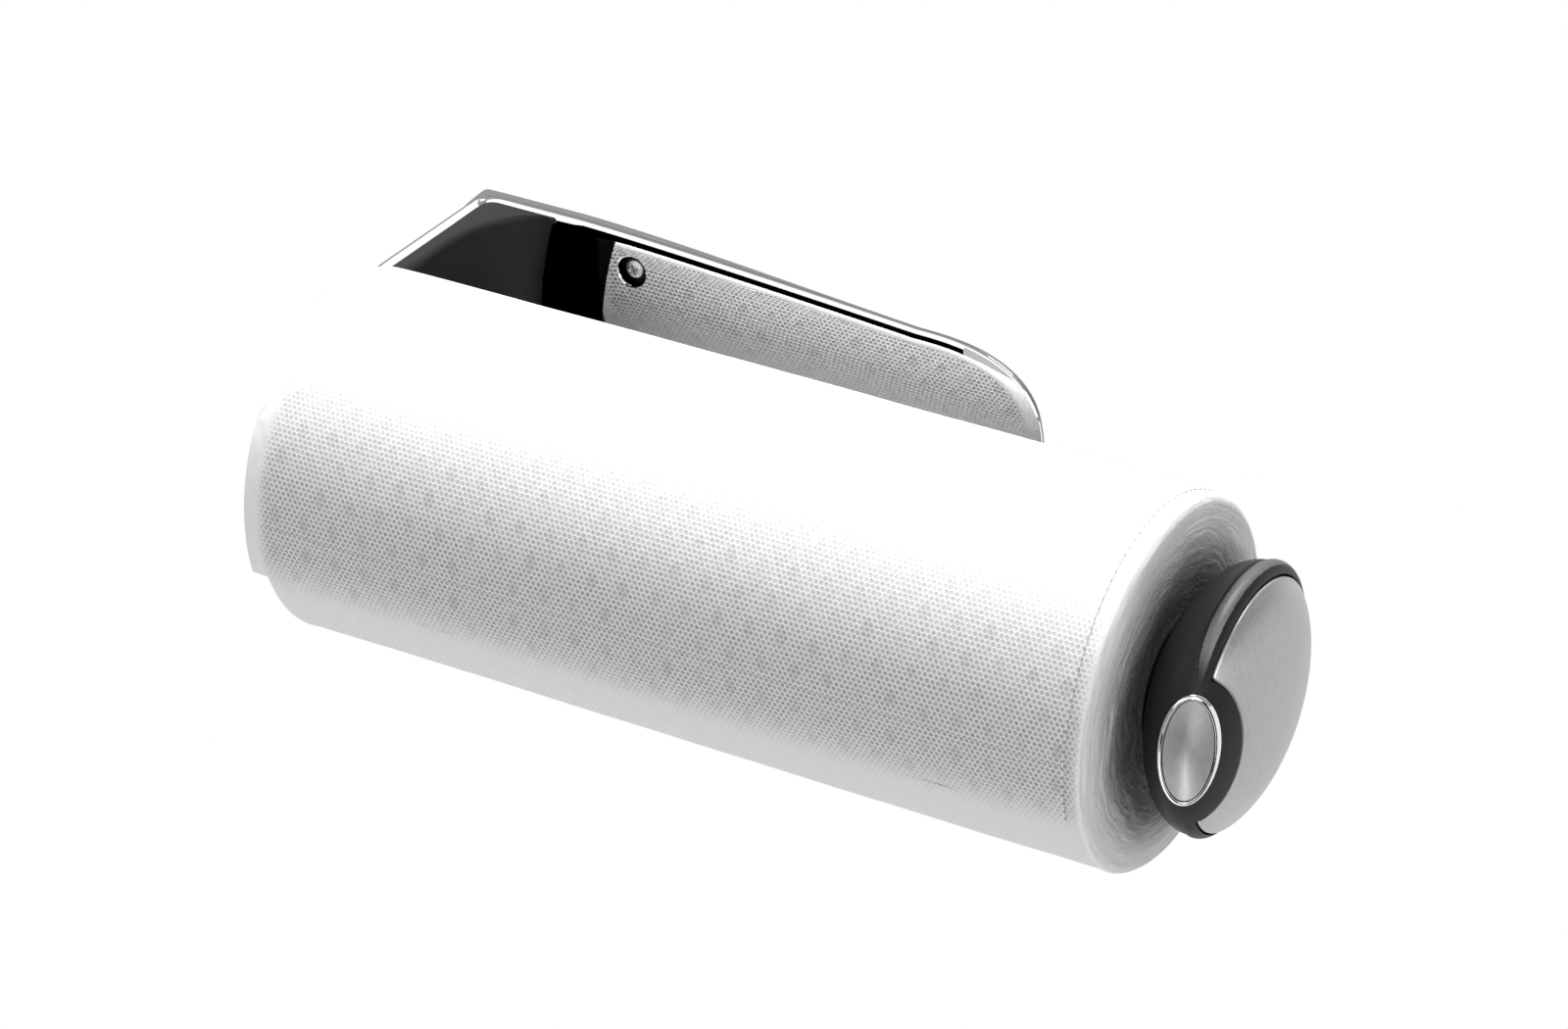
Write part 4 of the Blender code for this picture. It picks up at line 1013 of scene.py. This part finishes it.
def make_shell(dark, bead, at):
    """The shell, hollow and open to the back, with a recess for the cap and a seat for the bezel."""
    body = piece("knob_shell", pebble(bead=True), "knob", ["knob_body"], [dark, bead],
                 at=at)
    recess = tool("recess", oval_prism(CAP_OUTLINE, GAP, CAP_BACK - GAP, 20 * MM), at)
    keep = tool("keep", oval_prism(BITE, -GAP, -5 * MM, 25 * MM), at)
    floor = tool("floor", pebble(CAP_T + 0.5 * MM), at)
    apply_cut(recess, [keep, floor])
    cavity = tool("cavity", pebble(KNOB_WALL, rows=30, segments=72), at)
    behind, stop, wide = -20 * MM, -7 * MM, COVER_R + GAP
    opening = tool("opening", lathe([(behind, 0), (behind, wide), (stop, wide), (stop, 0)]), at)
    seat, hole = grown(BEZEL, 0.15 * MM), grown(DISH, GAP)
    seat_cut = ring_tool("seat", [oval_ring(seat, 14 * MM, 0), oval_ring(seat, -BEZEL_DEPTH - GAP, 1)], at)
    passage = ring_tool("passage", [oval_ring(hole, 14 * MM, 0), oval_ring(hole, -13 * MM, 0)], at)
    apply_cut(body, [cavity, opening, recess, seat_cut, passage])
    resmooth(body, 40)


def make_bezel(chrome, at):
    """Ring with a rounded face, which starts a little below the pebble's surface."""
    hole, lip, sunk, high = grown(BEZEL, -BEZEL_W), BEZEL_W / 2, -0.1 * MM, 0.7 * MM
    rings = [oval_ring(BEZEL, -BEZEL_DEPTH, 1), oval_ring(BEZEL, sunk, 1)]
    for i in range(1, 14):
        a = i / 14 * math.pi
        rings.append(oval_ring(grown(hole, lip + lip * math.cos(a)), sunk + high * math.sin(a), 1))
    rings += [oval_ring(hole, sunk, 1), oval_ring(hole, -BEZEL_DEPTH, 1)]
    bm = bmesh.new()
    add_rings(bm, rings, closed=True)
    piece("bezel_ring", bm, "knob", ["button_bezel"], chrome, smooth=50, at=at)


def dish_ring(rho, back):
    """Ring of the bowl at a share rho of its size, moved back by the given depth."""
    centre = BUTTON_AT - OUT * DISH_DEPTH
    ring = []
    for k in range(OVAL_SEGMENTS):
        a = math.tau * k / OVAL_SEGMENTS
        rim = BUTTON_AT + SIDE * (DISH[0] * math.cos(a)) + UP * (DISH[1] * math.sin(a))
        rise = surface_rise(rim) - 0.3 * MM + DISH_DEPTH
        flat = centre + SIDE * (DISH[0] * rho * math.cos(a)) + UP * (DISH[1] * rho * math.sin(a))
        ring.append(flat + OUT * (rise * rho ** 2 - back))
        if rho == 0:
            break
    return ring


def make_button(material, at):
    steps = 30
    rings = [dish_ring(1 - i / steps, 0) for i in range(steps + 1)]
    rings += [dish_ring(i / steps, DISH_T) for i in range(steps + 1)]
    bm = bmesh.new()
    add_rings(bm, rings, closed=True)
    piece("thumb_dish", bm, "button", ["button_dish"], material, smooth=50, at=at)


# ---------------------------------------------------------------- stage
def emitter(name, strength):
    mat = bpy.data.materials.new(name)
    mat.use_nodes = True
    tree = mat.node_tree
    tree.nodes.clear()
    out = tree.nodes.new("ShaderNodeOutputMaterial")
    glow = tree.nodes.new("ShaderNodeEmission")
    glow.inputs[0].default_value = (1, 1, 1, 1)
    glow.inputs[1].default_value = strength
    tree.links.new(glow.outputs[0], out.inputs[0])
    return mat


def area_light(name, at, look, size, power):
    data = bpy.data.lights.new(name, "AREA")
    data.shape = "RECTANGLE"
    data.size, data.size_y = size
    data.energy = power
    obj = bpy.data.objects.new(name, data)
    obj.location = at
    obj.rotation_euler = (Vector(look) - Vector(at)).to_track_quat("-Z", "Y").to_euler()
    bpy.context.scene.collection.objects.link(obj)
    return obj


def stage_mesh(name, bm, material):
    mesh = bpy.data.meshes.new(name)
    bm.to_mesh(mesh)
    bm.free()
    obj = bpy.data.objects.new(name, mesh)
    mesh.materials.append(material)
    bpy.context.scene.collection.objects.link(obj)
    obj.visible_diffuse = False
    return obj


def card(name, left, right, heights, material, lean=0.0):
    """Stage card over the line from left to right (x, y), between two heights, leaning back by lean.

    It lights or darkens reflections and is not seen by the camera."""
    low, high = heights
    corners = [(*left, low), (*right, low)]
    corners += [(x, y + lean, high) for x, y in (right, left)]
    bm = bmesh.new()
    bm.faces.new([bm.verts.new(p) for p in corners])
    obj = stage_mesh(name, bm, material)
    obj.visible_camera = False
    obj.visible_shadow = False


def make_floor():
    bm = bmesh.new()
    bmesh.ops.create_circle(bm, cap_ends=True, segments=96, radius=9.0)
    bmesh.ops.translate(bm, verts=bm.verts, vec=(0, 0, FLOOR_Z))
    stage_mesh("floor", bm, emitter("floor_white", 1.0))


def make_stage():
    scene = bpy.context.scene
    scene.view_settings.view_transform = "Standard"
    world = bpy.data.worlds.new("studio")
    scene.world = world
    world.use_nodes = True
    world.node_tree.nodes["Background"].inputs[0].default_value = (1, 1, 1, 1)
    world.node_tree.nodes["Background"].inputs[1].default_value = 0.38
    make_floor()

    black, glow = emitter("card_black", 0.0), emitter("card_white", 1.25)
    bright, dim = emitter("card_bright", 6.0), emitter("card_grey", 0.62)
    far_left, front, far_right = (-2.4, -1.0), (0.5, -1.3), (1.7, -0.9)
    low, eye, high = FLOOR_Z + 0.01, 0.62, 1.9
    card("front_black", far_left, front, (low, eye), black)
    card("front_glow", far_left, front, (eye, high), glow, lean=0.4)
    card("side_glow", front, far_right, (eye, high), glow, lean=0.4)
    card("back_glow", (-2.6, 1.4), (1.2, 1.4), (0.25, 2.2), glow, lean=0.2)
    card("bead_glow", (0.10, 0.1), (0.55, 0.1), (0.86, 0.86), bright, lean=0.3)
    card("dish_dark", (0.26, -0.34), (0.34, -0.12), (-0.16, 0.02), black)
    card("dish_fill", (-0.12, -0.46), (0.22, -0.52), (-0.05, 0.30), dim)

    top = area_light("top_soft", (-0.3, 0.35, 1.5), (0, -0.1, 0), (1.4, 0.9), 46)
    top.visible_glossy = False
    area_light("left_soft", (-1.3, -1.2, 0.9), (0, -0.1, 0), (1.0, 1.2), 6)
    area_light("right_soft", (1.4, -0.5, 0.5), (0.1, -0.1, 0), (0.7, 0.9), 9)
    area_light("under_soft", (-0.1, -0.3, -0.40), (-0.1, -0.12, 0), (1.2, 0.7), 1.6)


def make_camera():
    data = bpy.data.cameras.new("camera")
    data.lens = LENS
    data.sensor_width = 36
    cam = bpy.data.objects.new("camera", data)
    cam.location = CAM_AT
    cam.rotation_euler = (math.pi / 2 - CAM_PITCH, 0, CAM_YAW)
    bpy.context.scene.collection.objects.link(cam)
    bpy.context.scene.camera = cam


def keep_cad_solids(looks):
    """Hidden nodes stay the CAD's own solids and get a material."""
    for node, material in looks.items():
        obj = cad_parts[node]
        obj.data.materials.clear()
        obj.data.materials.append(material)


def main():
    satin = steel("hidden_steel", grey(0.56), 0.34, (0.1, 1, 1), 700)
    band_satin = steel("satin_steel", grey(0.30), 0.42, (0.08, 1, 1), 900, recesses=True)
    brushed = steel("brushed_cap", grey(0.47), 0.40, (1, 1, 0.12), 1500, 0.012 * MM, 0.16)
    brushed.node_tree.nodes["Principled BSDF"].inputs["Anisotropic"].default_value = 0.5
    button = steel("button_satin", grey(0.54), 0.58, (1, 1, 0.3), 1500, 0.003 * MM)
    chrome = mirror_steel("bezel_chrome")
    screw = steel("screw_metal", grey(0.66), 0.36, (1, 1, 1), 1500)
    wire = steel("spring_wire", grey(0.45), 0.3, (1, 1, 1), 3000)
    dark = plastic("dark_plastic", grey(0.011), 0.42, 0.16)
    hub = plastic("hub_plastic", grey(0.010), 0.5, 0.15)
    knob_at = (KNOB_X, AXIS_Y, 0)
    make_band(band_satin)
    make_plate(band_satin)
    make_wall_screws(screw)
    make_liner(dark)
    make_roll(paper("embossed_paper"), paper_end("wound_edges"), cardboard("core_card"))
    make_shell(dark, bead_metal("bead_satin"), knob_at)
    make_cap(brushed, knob_at)
    make_bezel(chrome, knob_at)
    make_button(button, knob_at)
    looks = {"rod_flange": satin, "rod_tube": satin, "rod_tip": satin, "left_hub": hub, "right_hub": hub,
             "back_cover": dark, "button_plunger": dark, "latch_clip": wire, "button_spring": wire}
    for number in (1, 2, 3):
        looks[f"flange_screw_{number}"] = screw
        looks[f"knob_screw_{number}"] = screw
    keep_cad_solids(looks)
    make_stage()
    make_camera()


main()
